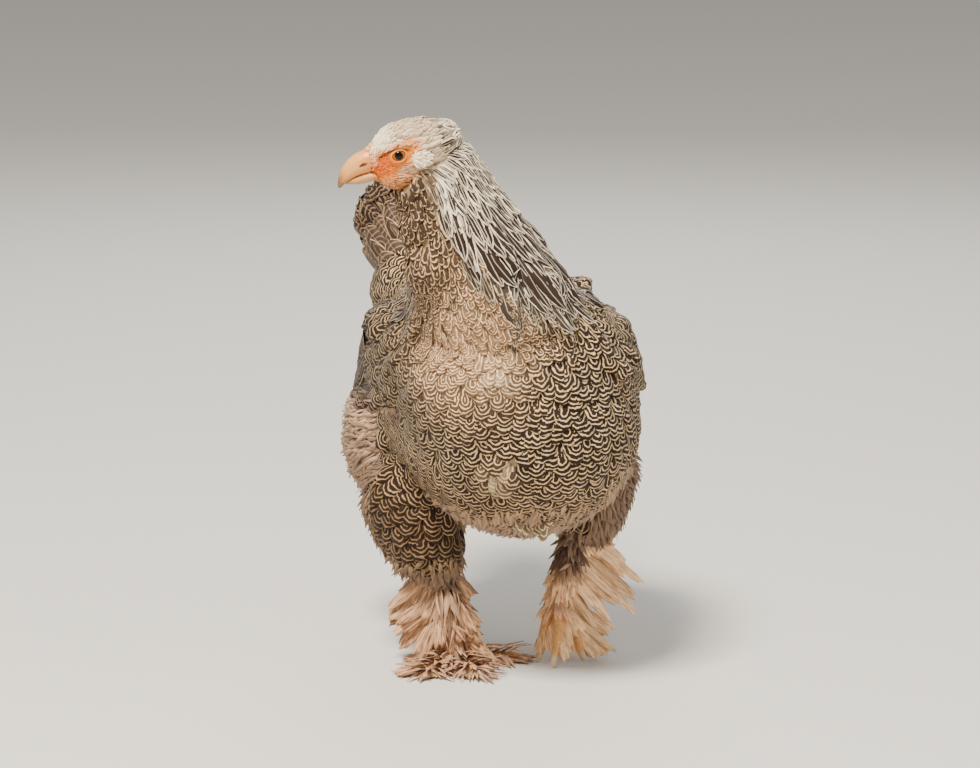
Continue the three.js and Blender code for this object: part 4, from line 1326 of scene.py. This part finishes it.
covert_size = {"gap": 8, "length": 34, "half": 9, "lift": 4}
size = {key: np.full(len(z), float(value)) for key, value in covert_size.items()}
zone = on_tail & outermost
laid_coat("tail_coverts", "tail_dark", TAIL_VANE, BODY_SHAPE, zone, seed=51, base=0.8, rag=0.1, **size)

# %% [markdown]
# The head's feathers are the smallest, a few millimetres long, white on the forehead, flecked
# grey-tan on the crown and cream on the cheek. The skin stays bare round the eye and towards the beak.

# %% Small feathers of the head
def bare_face(local):
    """1 on the bare skin round the eye and before it, 0 under feathers."""
    round_eye = 1 - np.hypot((local[:, 0] - 3.5) / 13.5, (local[:, 2] + 0.8) / 7.2)
    gape = 1 - np.hypot((local[:, 0] - 14.5) / 8.5, (local[:, 2] + 7) / 6.8)
    return np.maximum(round_eye, gape)


def head_plumage(points):
    """The same measures as plumage gives, for the small feathers of the head."""
    local = to_head(points)
    number = len(points)
    x, _, up = local.T
    crown = ramp(-x, -10, 4) * ramp(up, 2, 8)
    forehead = ramp(x, -4, 8) * ramp(up, 3, 9)
    ground = np.tile(linear("#f0d6b2"), (number, 1))
    ground = mixed(ground, CROWN, crown)
    ground = mixed(ground, WHITE, forehead)
    orange = ramp(-up, 8, 20) * ramp(x, -12, 6)
    orange = np.maximum(orange, ramp(bare_face(local), -0.55, 0.0) * (1 - 0.5 * forehead))
    ground = mixed(ground, linear("#ee8c30"), 0.8 * orange)
    flecks = 0.25 + 0.45 * crown + 0.15 * ramp(-up, 4, 12) - 0.25 * forehead
    return {
        "ground": np.column_stack([ground, np.ones(number)]),
        "ink": np.column_stack([np.tile(linear("#7b6a5d"), (number, 1)), np.clip(flecks, 0, 1)]),
        "mark": np.tile([2.4, 0.8, 0.6], (number, 1)),
        "wander": np.full(number, 3.0),
    }


face_bare = ramp(bare_face(face_local), -0.12, 0.12)
open_to_air = outermost | (face_local[:, 0] > -24)
head_feather_zone = on_head & (face_local[:, 0] >= -30) & (face_bare < 0.5)
beard_zone = head_feather_zone & (face_local[:, 2] < -12) & (face_local[:, 0] > -12)
HEAD_ROOT_DEPTH = 0.1
growth = 0.75 + 0.6 * ramp(-face_local[:, 0], -16, 20)
for name, zone, gap, length, width, rise, shape in (
    ("head_feathers", head_feather_zone & ~beard_zone, 1.75, 5.6, 2.6, 0.1, SMALL_SHAPE),
    ("beard_bristles", beard_zone, 1.5, 5.5, 1.1, 0.3, LOCK_SHAPE),
):
    zone, gap = zone & open_to_air, gap * growth
    lines, halves, spans, colours, chance = stand_on_skin(
        zone, gap, 81, length, width, rise, shape, sway=0.16, depth=HEAD_ROOT_DEPTH, growth=growth
    )
    colours = varied(head_plumage(lines[0][:, 0]), chance, 0.1)
    coat_piece(name, BODY_VANE, shape, lines, halves, spans, colours)
LID_REACH = 8.5
bare_zone = on_head & (face_bare >= 0.4) & (np.hypot(face_local[:, 0], face_local[:, 2]) > LID_REACH)
gap = np.full(len(z), 2.0)
lines, halves, spans, colours, chance = stand_on_skin(
    bare_zone, gap, 85, 2.4, 0.65, rise=0.3, shape=LOCK_SHAPE, sway=0.3, depth=HEAD_ROOT_DEPTH
)
colours = own_colours(len(halves), linear("#f0922e"), linear("#8a4a24"), 0.35, chance)
coat_piece("face_bristles", BODY_VANE, LOCK_SHAPE, lines, halves, spans, colours)

# %% [markdown]
# Her legs are feathered down to the toes. Soft down covers the shank, and on it stand fans of long, worn
# feathers with split tips. Each fan's roots run along a leg or a toe, and its headings swing evenly
# from the first feather to the last. The lifted left foot shows its toes, the flat right one is hidden.

# %% Feet
# Each fan: the line it grows on, its feathers, the stretch of the line, the headings of its first and
# last feather, the way its faces look, and a feather's length and half width in millimetres.
UP = (0, 0, 1)
FANS = {
    "right": [
        ("shank", 26, (0.12, 0.42), (-1, 0.3, -1), (0.6, -0.5, -1), (-0.3, -1, 0.6), 54, 5.5),
        ("shank", 30, (0.4, 0.7), (-1, 0.2, -0.5), (0.7, -0.5, -0.8), (-0.2, -1, 0.8), 52, 5),
        ("shank", 14, (0.2, 0.6), (-1, 0.7, -0.7), (0.2, 0.8, -1), (-0.3, 1, 0.7), 46, 6),
        ("shank", 18, (0.15, 0.5), (0.9, 0.3, -1), (0.5, -0.6, -1), (0.4, -1, 0.6), 44, 5),
        ("outer", 14, (0.1, 0.8), (-1, 0.5, -0.1), (-1, -0.3, -0.04), UP, 36, 4.5),
        ("outer", 9, (0.3, 0.9), (-0.1, -1, -0.08), (-0.6, -0.8, -0.04), UP, 28, 4),
        ("middle", 8, (0.2, 0.8), (0.5, -0.8, -0.06), (-0.4, -1, -0.03), UP, 24, 4),
        ("inner", 12, (0.25, 0.9), (0.4, -0.9, -0.06), (0.9, -0.2, -0.02), UP, 22, 3.5),
    ],
    "left": [
        ("shank", 9, (0.15, 0.75), (1, 0, -0.75), (0.85, -0.1, -1), (0.3, -1, 0.5), 68, 4.6),
        ("shank", 8, (0.2, 0.7), (1, 0.5, -0.6), (0.4, 0.7, -0.9), (0.4, 1, 0.6), 56, 5),
        ("shank", 7, (0.1, 0.3), (0.6, -0.4, -1), (-0.1, -0.4, -1), (0, -1, 0.3), 32, 5),
        ("shank", 12, (0.5, 0.98), (0.95, 0, -0.8), (0.5, -0.2, -1), (0.3, -1, 0.5), 48, 4.2),
        ("shank", 14, (0.35, 0.95), (0.35, -0.5, -1), (-0.05, -0.4, -1), (0, -1, 0.3), 26, 3.4),
        ("outer", 12, (0.05, 0.65), (1, 0, -0.75), (0.5, -0.1, -1), (0.3, -1, 0.4), 50, 4.2),
        ("outer", 6, (0.05, 0.4), (0.6, -0.3, -0.9), (0.1, -0.2, -1), (0, -1, 0.3), 34, 4),
        ("middle", 13, (0, 0.5), (0.7, -0.5, -0.9), (0.05, -0.5, -1), (0, -1, 0.4), 30, 4),
        ("inner", 12, (0, 0.62), (0.3, -0.5, -0.9), (-0.3, -0.4, -1), (0, -1, 0.4), 24, 3.5),
    ],
}
# The left foot's feathers get a lighter colour and fainter streaks than the right's: painted light on the
# lifted foot.
WORN_PAINTED_LIGHT = linear("#ffcf9c")
WORN = linear("#d3a47c")
WORN_DARK = linear("#5e3f2a")
WORN_TONES = {"right": (WORN, 0.75), "left": (WORN_PAINTED_LIGHT, 0.5)}
TIP_OVER_FLOOR = 1.2
for side, (worn, streaked) in WORN_TONES.items():
    chance = np.random.default_rng(91)
    roots, headings, facings, lengths, halves = [], [], [], [], []
    for on, count, stretch, first, last, facing, length, half in FANS[side]:
        for index in range(count):
            share = index / (count - 1)
            spot = along_line(LEG_LINES[side][on], stretch[0] * (1 - share) + stretch[1] * share)
            heading = np.array(first) * (1 - share) + np.array(last) * share
            heading = unit(heading + chance.normal(0, 0.1, 3) * [1, 1, 0.4])
            grown = length * chance.uniform(0.75, 1.08)
            roots.append(spot)
            headings.append(heading)
            facings.append(np.array(facing) + chance.normal(0, 0.15, 3))
            lengths.append(min(grown, (spot[2] - TIP_OVER_FLOOR) / max(-heading[2], 0.01)))
            halves.append(half * chance.uniform(0.8, 1.15))
    roots, headings, facings, lengths, halves = map(np.array, (roots, headings, facings, lengths, halves))
    bend, roll = chance.uniform(-0.06, 0.02, len(roots)), chance.normal(0, 0.15, len(roots))
    lines = stand_lines(roots, headings, facings, lengths, halves, WORN_SHAPE, bend, 0.25, roll)
    colours = own_colours(len(roots), worn, WORN_DARK, streaked, chance, 0.16)
    fan = f"foot_fan_{side}"
    coat_piece(fan, WORN_VANE, WORN_SHAPE, lines, halves, lengths, colours, 0.9, chance)

# %% Down of the legs
# The left leg's down is lighter than the right's: painted light on the lifted leg.
LEG_DOWN = {
    "left": {"zone": (face_middles[:, 0] > 0) & (z > 46), "rise": 0.4, "length": 17, "tone": "#ffce9e"},
    "right": {"zone": (face_middles[:, 0] <= 0) & (z > 4.5), "rise": 0.8, "length": 24, "tone": "#c9a07f"},
}
DARK_HOCK = linear("#5f483a")
for side, down in LEG_DOWN.items():
    gap = np.full(len(z), 2.0)
    lines, halves, spans, colours, chance = stand_on_skin(
        on_leg & down["zone"], gap, 95, down["length"], width=3.6, rise=down["rise"], shape=LOCK_SHAPE
    )
    colours = own_colours(len(halves), linear(down["tone"]), WORN_DARK, 0.4, chance)
    hock = ramp(lines[0][:, 0, 2], 66, 84) * (side == "left")
    colours["ground"][:, :3] = mixed(colours["ground"][:, :3], DARK_HOCK, hock)
    coat_piece(f"leg_down_{side}", WORN_VANE, LOCK_SHAPE, lines, halves, spans, colours)

# %% [markdown]
# Bare skin is smooth, a little moist and lets light in. On the face it is orange, paler towards the
# forehead, with painted shade along the crease under the brow. On the legs it is horn-yellow with rows of
# scutes.
# Under the feathers it only has to match the coat above it.

# %% Skin finish
def skin_colours(points, normals, labels):
    """The colour of each spot of the skin."""
    plumes = plumage(points, normals, labels)
    under = mixed(plumes["ground"][:, :3], plumes["ink"][:, :3], np.full(len(points), 0.5))
    head = is_label(labels, "head") * 1.0
    local = to_head(points)
    x, _, up = local.T
    face_tone = np.tile(linear("#e8700c"), (len(points), 1))
    face_tone = mixed(face_tone, linear("#d9540c"), ramp(x, 4, 14) * ramp(-np.abs(up + 2), -9, -3))
    face_tone = mixed(face_tone, linear("#f09a3e"), ramp(-up, 8, 20))
    face_tone = mixed(face_tone, WHITE, ramp(up, 6, 11))
    face_tone = mixed(face_tone, CROWN, ramp(-x, 13, 20))
    edge_of_bare = ramp(-bare_face(local), -0.3, 0.0)
    face_tone = mixed(face_tone, linear("#f09c4a"), 0.6 * edge_of_bare * (x > -14) * (up < 8))
    # Painted shade: a dark line along the crease under the brow.
    painted_brow_shade = bell(up - brow_line(x, 4.6), 0, 1.1) * ramp(x, -12, -5) * ramp(-x, -20, -12)
    face_tone = mixed(face_tone, linear("#5a2410"), 0.95 * painted_brow_shade)
    under = mixed(under, face_tone, head)
    leg = is_label(labels, "shank", "foot") * 1.0
    under = mixed(under, linear("#d9a066"), leg)
    return mixed(under, DUSTY * 0.6, leg * ramp(points[:, 2], 52, 66))


values = skin_colours(skin_points, soft_normals, skin_labels)
values = np.column_stack([values, np.ones(len(values))])
skin.data.attributes.new("ground", "FLOAT_COLOR", "POINT").data.foreach_set("color", values.ravel())
SOFT_SKIN = {"Subsurface_Weight": 0.06, "Subsurface_Scale": 1.2 * MM}
SKIN_FINISH, tree, shader = new_finish("living_skin", Roughness=0.5, **SOFT_SKIN)
shader.inputs["Subsurface Radius"].default_value = (1.0, 0.35, 0.2)
shader.inputs["Specular IOR Level"].default_value = 0.2
tone = read_attribute(tree, "ground").outputs["Color"]
mottle = maths(tree, "ADD", 0.6, maths(tree, "MULTIPLY", noise(tree, 1.6, 4.0), 0.8))
paint(tree, shader, tone, mottle)
PORE_GAP = 1.1
inputs = {"Vector": add(tree, "ShaderNodeTexCoord").outputs["Object"], "Scale": 1 / (PORE_GAP * MM)}
emboss(tree, shader, add(tree, "ShaderNodeTexVoronoi", inputs).outputs["Distance"], 0.8, 0.5)
skin.data.materials.append(SKIN_FINISH)
print("skin finish:", SKIN_FINISH.name)

# %% [markdown]
# The eye is a ball whose clear cornea bulges over an orange iris. The ball's own map runs from pole to
# pole, so the pole is turned outwards and the pupil and iris are rings of that map. A ring of lid
# skin closes round it.

# %% Eyes and lids
EYE_FINISH, tree, shader = new_finish("wet_eye", Roughness=0.12, Coat_Weight=0.15, Coat_Roughness=0.04)
shader.inputs["Specular IOR Level"].default_value = 0.15
along, _, height = parts_of(tree, "eye_place")
squares = [maths(tree, "MULTIPLY", part, part) for part in (along, height)]
ring = maths(tree, "SQRT", maths(tree, "ADD", *squares))
place = read_attribute(tree, "eye_place").outputs["Vector"]
iris_ray = add(tree, "ShaderNodeTexNoise", {"Vector": place, "Scale": 2.2, "Detail": 4.0}).outputs["Fac"]
iris = blend(tree, iris_ray, opaque("#8a360c"), opaque("#d0701c"))
with_pupil = blend(tree, step(tree, ring, 2.9, 3.3), opaque("#0c0705"), iris)
with_rim = blend(tree, step(tree, ring, 4.4, 5.2), with_pupil, opaque("#3a1a0a"))
tree.links.new(with_rim, shader.inputs["Base Color"])
LID_FINISH, tree, shader = new_finish("lid_skin", Roughness=0.45)
lid_tone = blend(tree, noise(tree, 1.2, 3.0), opaque("#cf7420"), opaque("#eda840"))
tree.links.new(lid_tone, shader.inputs["Base Color"])
EYE_RADIUS, EYE_SIDE = 7.0, 10.8
LID_RADIUS, LID_THICK, LID_OVER_EYE = 5.7, 1.0, 0.5


def finish_piece(piece, name, finish):
    """Shades, paints and names a modelled piece that rides on the bird."""
    edit_all(piece, bpy.ops.mesh.normals_make_consistent, inside=False)
    piece.name = piece.data.name = name
    smooth_shaded(piece)
    piece.data.materials.append(finish)
    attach(piece, "root")


def vertices_of(piece):
    """The vertices as they are in the mesh."""
    return np.array([vertex.co[:] for vertex in piece.data.vertices])


for side, sign in SIDES.items():
    bpy.ops.object.select_all(action="DESELECT")
    bpy.ops.mesh.primitive_uv_sphere_add(segments=40, ring_count=24, radius=1, location=(0, 0, 0))
    eyeball = bpy.context.object
    points = vertices_of(eyeball)[:, [0, 2, 1]] * [1, sign, -sign]
    bulge = 1 + 0.1 * ramp(points[:, 1] * sign, 0.82, 1.0)
    local = points * EYE_RADIUS * bulge[:, None] + [0, EYE_SIDE * sign, 0]
    eye_place = eyeball.data.attributes.new("eye_place", "FLOAT_VECTOR", "POINT")
    eye_place.data.foreach_set("vector", (local * [1, 0, 1]).ravel())
    set_points(eyeball, from_head(local))
    finish_piece(eyeball, f"eyeball_{side}", EYE_FINISH)
    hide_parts(f"eye_{side}")
    bpy.ops.object.select_all(action="DESELECT")
    ring_size = {"major_radius": LID_RADIUS, "minor_radius": LID_THICK}
    bpy.ops.mesh.primitive_torus_add(**ring_size, major_segments=40, minor_segments=12, location=(0, 0, 0))
    lid = bpy.context.object
    along, height, thick = vertices_of(lid).T
    height = height * 0.84
    height = np.where(height > 0, height * 0.86, height)
    over_eye = (EYE_RADIUS + LID_OVER_EYE) ** 2 - along**2 - height**2
    out = np.sqrt(np.maximum(over_eye, 1)) + EYE_SIDE
    set_points(lid, from_head(np.stack([along * 1.04, sign * (out + thick * 0.8), height], 1)))
    finish_piece(lid, f"eyelid_{side}", LID_FINISH)
print("eyes and lids made")

# %% [markdown]
# Beak and claws are layered horn: smooth, faintly translucent, streaked along their growth and darker
# at the worn tip. Their solids have the right shape, so merged and subdivided copies stand for them.

# %% Finishes of beak, claws, comb and ear lobes
NOSTRIL_ALONG, NOSTRIL_UP = (26.0, 3.4), (2.2, 1.3)


def horn_finish(name, base, middle, tip, start, end, nostril):
    """Colours from base to tip over a stretch in millimetres, with a nostril in a colour of its own."""
    finish, tree, shader = new_finish(name, Roughness=0.38, Subsurface_Weight=0.1, Subsurface_Scale=1.0 * MM)
    place = read_attribute(tree, "place").outputs["Vector"]
    along, _, height = parts_of(tree, "place")
    grown = add(tree, "ShaderNodeMapping", {"Vector": place, "Scale": (0.12, 1.0, 1.0)}).outputs[0]
    streaks = add(tree, "ShaderNodeTexNoise", {"Vector": grown, "Scale": 0.9, "Detail": 3.0}).outputs["Fac"]
    shift = maths(tree, "MULTIPLY", maths(tree, "SUBTRACT", streaks, 0.5), 8.0)
    shifted = maths(tree, "ADD", along, shift)
    halfway = step(tree, shifted, start, (start + end) / 2)
    horn = blend(tree, halfway, opaque(base), opaque(middle))
    horn = blend(tree, step(tree, shifted, (start + 2 * end) / 3, end), horn, opaque(tip))
    squares = []
    for value, (centre, size) in ((along, NOSTRIL_ALONG), (height, NOSTRIL_UP)):
        part = maths(tree, "DIVIDE", maths(tree, "SUBTRACT", value, centre), size)
        squares.append(maths(tree, "MULTIPLY", part, part))
    reach = maths(tree, "ADD", *squares)
    horn = blend(tree, step(tree, reach, 0.5, 1.3), opaque(nostril), horn)
    tree.links.new(horn, shader.inputs["Base Color"])
    emboss(tree, shader, streaks, 0.25, 0.3)
    return finish


BEAK_FINISH = horn_finish("horn_beak", "#de7018", "#e6a258", "#5e4630", 12, 50, "#70401f")
# The lower half of the beak gets duller, darker horn than the upper: painted shade under the upper half.
SHADED_LOWER_BEAK_FINISH = horn_finish("horn_beak_lower_shaded", "#dd8540", "#c2925c", "#7a6048", 12, 48, "#c2925c")
CLAW_FINISH = horn_finish("horn_claw", "#cdb08c", "#e8dcc6", "#f0e8d8", 0, 14, "#f0e8d8")
SOFT_COMB = {"Subsurface_Weight": 0.2, "Subsurface_Scale": 1.5 * MM}
COMB_FINISH, tree, shader = new_finish("comb_flesh", Roughness=0.45, **SOFT_COMB)
comb_tone = blend(tree, noise(tree, 2.0, 3.0), opaque("#e28a5a"), opaque("#f3bd95"))
tree.links.new(comb_tone, shader.inputs["Base Color"])
SOFT_LOBE = {"Subsurface_Weight": 0.15, "Subsurface_Scale": 1.5 * MM}
LOBE_FINISH, tree, shader = new_finish("ear_lobe_skin", Roughness=0.6, **SOFT_LOBE)
lobe_tone = blend(tree, noise(tree, 2.5, 4.0), opaque("#e6bd8c"), opaque("#fbe6c4"))
along, _, height = parts_of(tree, "place")
backwards = maths(tree, "SUBTRACT", maths(tree, "MULTIPLY", height, -0.7), along)
uneven = maths(tree, "ADD", backwards, maths(tree, "MULTIPLY", noise(tree, 2.0), 1.5))
reddened = blend(tree, step(tree, uneven, 24.6, 27.0), lobe_tone, opaque("#e0713a"))
tree.links.new(reddened, shader.inputs["Base Color"])
emboss(tree, shader, noise(tree, 1.0, 3.0), 0.4, 0.3)
print("finishes:", BEAK_FINISH.name, CLAW_FINISH.name, COMB_FINISH.name, LOBE_FINISH.name)

# %% [markdown]
# The solids of the beak, comb, lobes and claws have the right shape, so finer copies stand for them.
# The lobe is covered with very short, pale feathers and shows bare only at its reddened rim.

# %% Beak, claws, comb and ear lobes

def stand_in(node, name, finish, voxel, rounds, place_of, reshape=None):
    """A finer copy of a solid, which carries its own places in millimetres for its finish."""
    piece = copy_of(name, node)
    remesh(piece, voxel)
    apply_modifier(piece, "SMOOTH", factor=SOFTEN, iterations=rounds)
    if reshape:
        set_points(piece, from_head(reshape(to_head(points_of(piece)))))
    place = piece.data.attributes.new("place", "FLOAT_VECTOR", "POINT")
    place.data.foreach_set("vector", place_of(points_of(piece)).ravel())
    smooth_shaded(piece)
    piece.data.materials.append(finish)
    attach(piece, "root")
    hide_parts(node)
    print(name, "has", len(piece.data.polygons), "faces")
    return piece


def closed_mouth(local):
    """Brings the lower half of the beak up against the upper one."""
    lifted = local.copy()
    lifted[:, 2] += 1.7 * ramp(local[:, 0], 10, 30)
    return lifted


def low_comb(local):
    """A hen's comb is hardly higher than the feathers round it."""
    middle = local.mean(0)
    return middle - [0, 0, 2.2] + (local - middle) * [0.95, 0.8, 0.6]


def flat_lobe(local):
    """Makes the lobe a little smaller and flatter."""
    middle = local.mean(0)
    return middle + (local - middle) * [0.86, 0.8, 0.92]


LOBE_GAP, LOBE_RIM = 1.7, 25.4


def lobe_feathers(lobe, side):
    """Tiny feathers over an ear lobe, up to its bare rim."""
    chance = np.random.default_rng(87)
    spots = points_of(lobe)
    outward = unit(np.array([vertex.normal[:] for vertex in lobe.data.vertices]))
    local, out = to_head(spots), to_head(spots + outward) - to_head(spots)
    open_side = out[:, 1] * np.sign(local[:, 1]) > 0.1
    picked = np.nonzero(open_side & (-0.7 * local[:, 2] - local[:, 0] < LOBE_RIM))[0]
    kept = []
    for spot in chance.permutation(picked):
        if all(np.linalg.norm(spots[spot] - spots[other]) > LOBE_GAP for other in kept):
            kept.append(spot)
    number = len(kept)
    roots, normal = spots[kept], outward[kept]
    back = from_head(np.array([[-1.0, 0, -0.35]])) - from_head(np.zeros((1, 3)))
    lie = along_surface(back + chance.normal(0, 0.2, (number, 3)), normal)
    spans, halves = chance.uniform(3.6, 5, number), chance.uniform(0.9, 1.3, number)
    roots, headings = roots - normal * 0.2, unit(lie + normal * 0.22)
    roll = chance.normal(0, 0.2, number)
    lines = stand_lines(roots, headings, normal, spans, halves, SMALL_SHAPE, -0.1, 0.2, roll)
    colours = own_colours(number, linear("#fff0d2"), linear("#b09070"), 0.3, chance, 0.07)
    name = f"lobe_feathers_{side}"
    coat_piece(name, BODY_VANE, SMALL_SHAPE, lines, halves, spans, colours)


def from_claw_root(node):
    """Measures places from the top of a claw's box."""
    low, high = (to_bird(np.array(corner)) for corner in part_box(node))
    root = np.array([(low[0] + high[0]) / 2, (low[1] + high[1]) / 2, high[2]])
    return lambda spots: spots - root


stand_in("beak_upper", "upper_beak", BEAK_FINISH, 0.55, 3, to_head)
stand_in("beak_lower", "lower_beak", SHADED_LOWER_BEAK_FINISH, 0.55, 3, to_head, closed_mouth)
stand_in("comb", "pea_comb", COMB_FINISH, 0.5, 2, to_head, low_comb)
for side in SIDES:
    node, name = f"ear_lobe_{side}", f"lobe_{side}"
    lobe = stand_in(node, name, LOBE_FINISH, 0.6, 4, to_head, flat_lobe)
    lobe_feathers(lobe, side)
    for toe in ("inner", "middle", "outer", "hind"):
        node = f"claw_{side}_{toe}"
        stand_in(node, f"toe_{node}", CLAW_FINISH, 0.45, 2, from_claw_root(node))

# %% [markdown]
# Size, camera and light. The camera stands nearly three metres away with a long lens, level with the
# bird's back and a little to her right, as in the photograph.

# %% Camera, light and floor
AZIMUTH, ELEVATION = math.radians(-15), math.radians(11)
LEVEL = math.cos(ELEVATION)
BACK = np.array([math.sin(AZIMUTH) * LEVEL, -math.cos(AZIMUTH) * LEVEL, math.sin(ELEVATION)])
TARGET = np.array([-0.654, 41.715, 206.422])
CAMERA_DISTANCE = 2800
bpy.ops.object.camera_add()
camera = bpy.context.object
camera.location = to_frame(TARGET + BACK * CAMERA_DISTANCE)
camera.rotation_euler = Vector(BACK).to_track_quat("Z", "Y").to_euler()
camera.data.lens = 135
camera.data.sensor_width = 36
camera.data.clip_start = 0.1
bpy.context.scene.camera = camera

world = bpy.data.worlds.new("soft_sky")
bpy.context.scene.world = world
world.use_nodes = True
world.node_tree.nodes["Background"].inputs["Color"].default_value = (1.0, 0.98, 0.95, 1)
world.node_tree.nodes["Background"].inputs["Strength"].default_value = 0.42


MIDDLE = (0, 0, 0.2)


def area_light(name, place, size, power):
    """A soft square light aimed at the middle of the bird."""
    bpy.ops.object.light_add(type="AREA", location=place)
    light = bpy.context.object
    light.name = name
    light.data.size = size
    light.data.energy = power
    light.rotation_euler = (Vector(place) - Vector(MIDDLE)).to_track_quat("Z", "Y").to_euler()
    return light


area_light("key", (-0.9, -1.1, 2.5), 0.7, 172).data.color = (1.0, 0.93, 0.82)
area_light("fill", (1.7, -1.2, 1.1), 1.6, 12)
area_light("behind", (0.6, 1.9, 1.7), 1.4, 26)

bpy.ops.object.select_all(action="DESELECT")
bpy.ops.mesh.primitive_plane_add(size=12, location=(0, 0, 0))
floor = bpy.context.object
floor.name = "floor"
floor_finish, _, shader = new_finish("matt_paper", Roughness=0.9)
shader.inputs["Base Color"].default_value = opaque("#dedbd4")
floor.data.materials.append(floor_finish)
print("camera at", [round(value, 3) for value in camera.location])

# %% Sizes and the end
print("coat triangles:", sum(coat_triangles.values()))
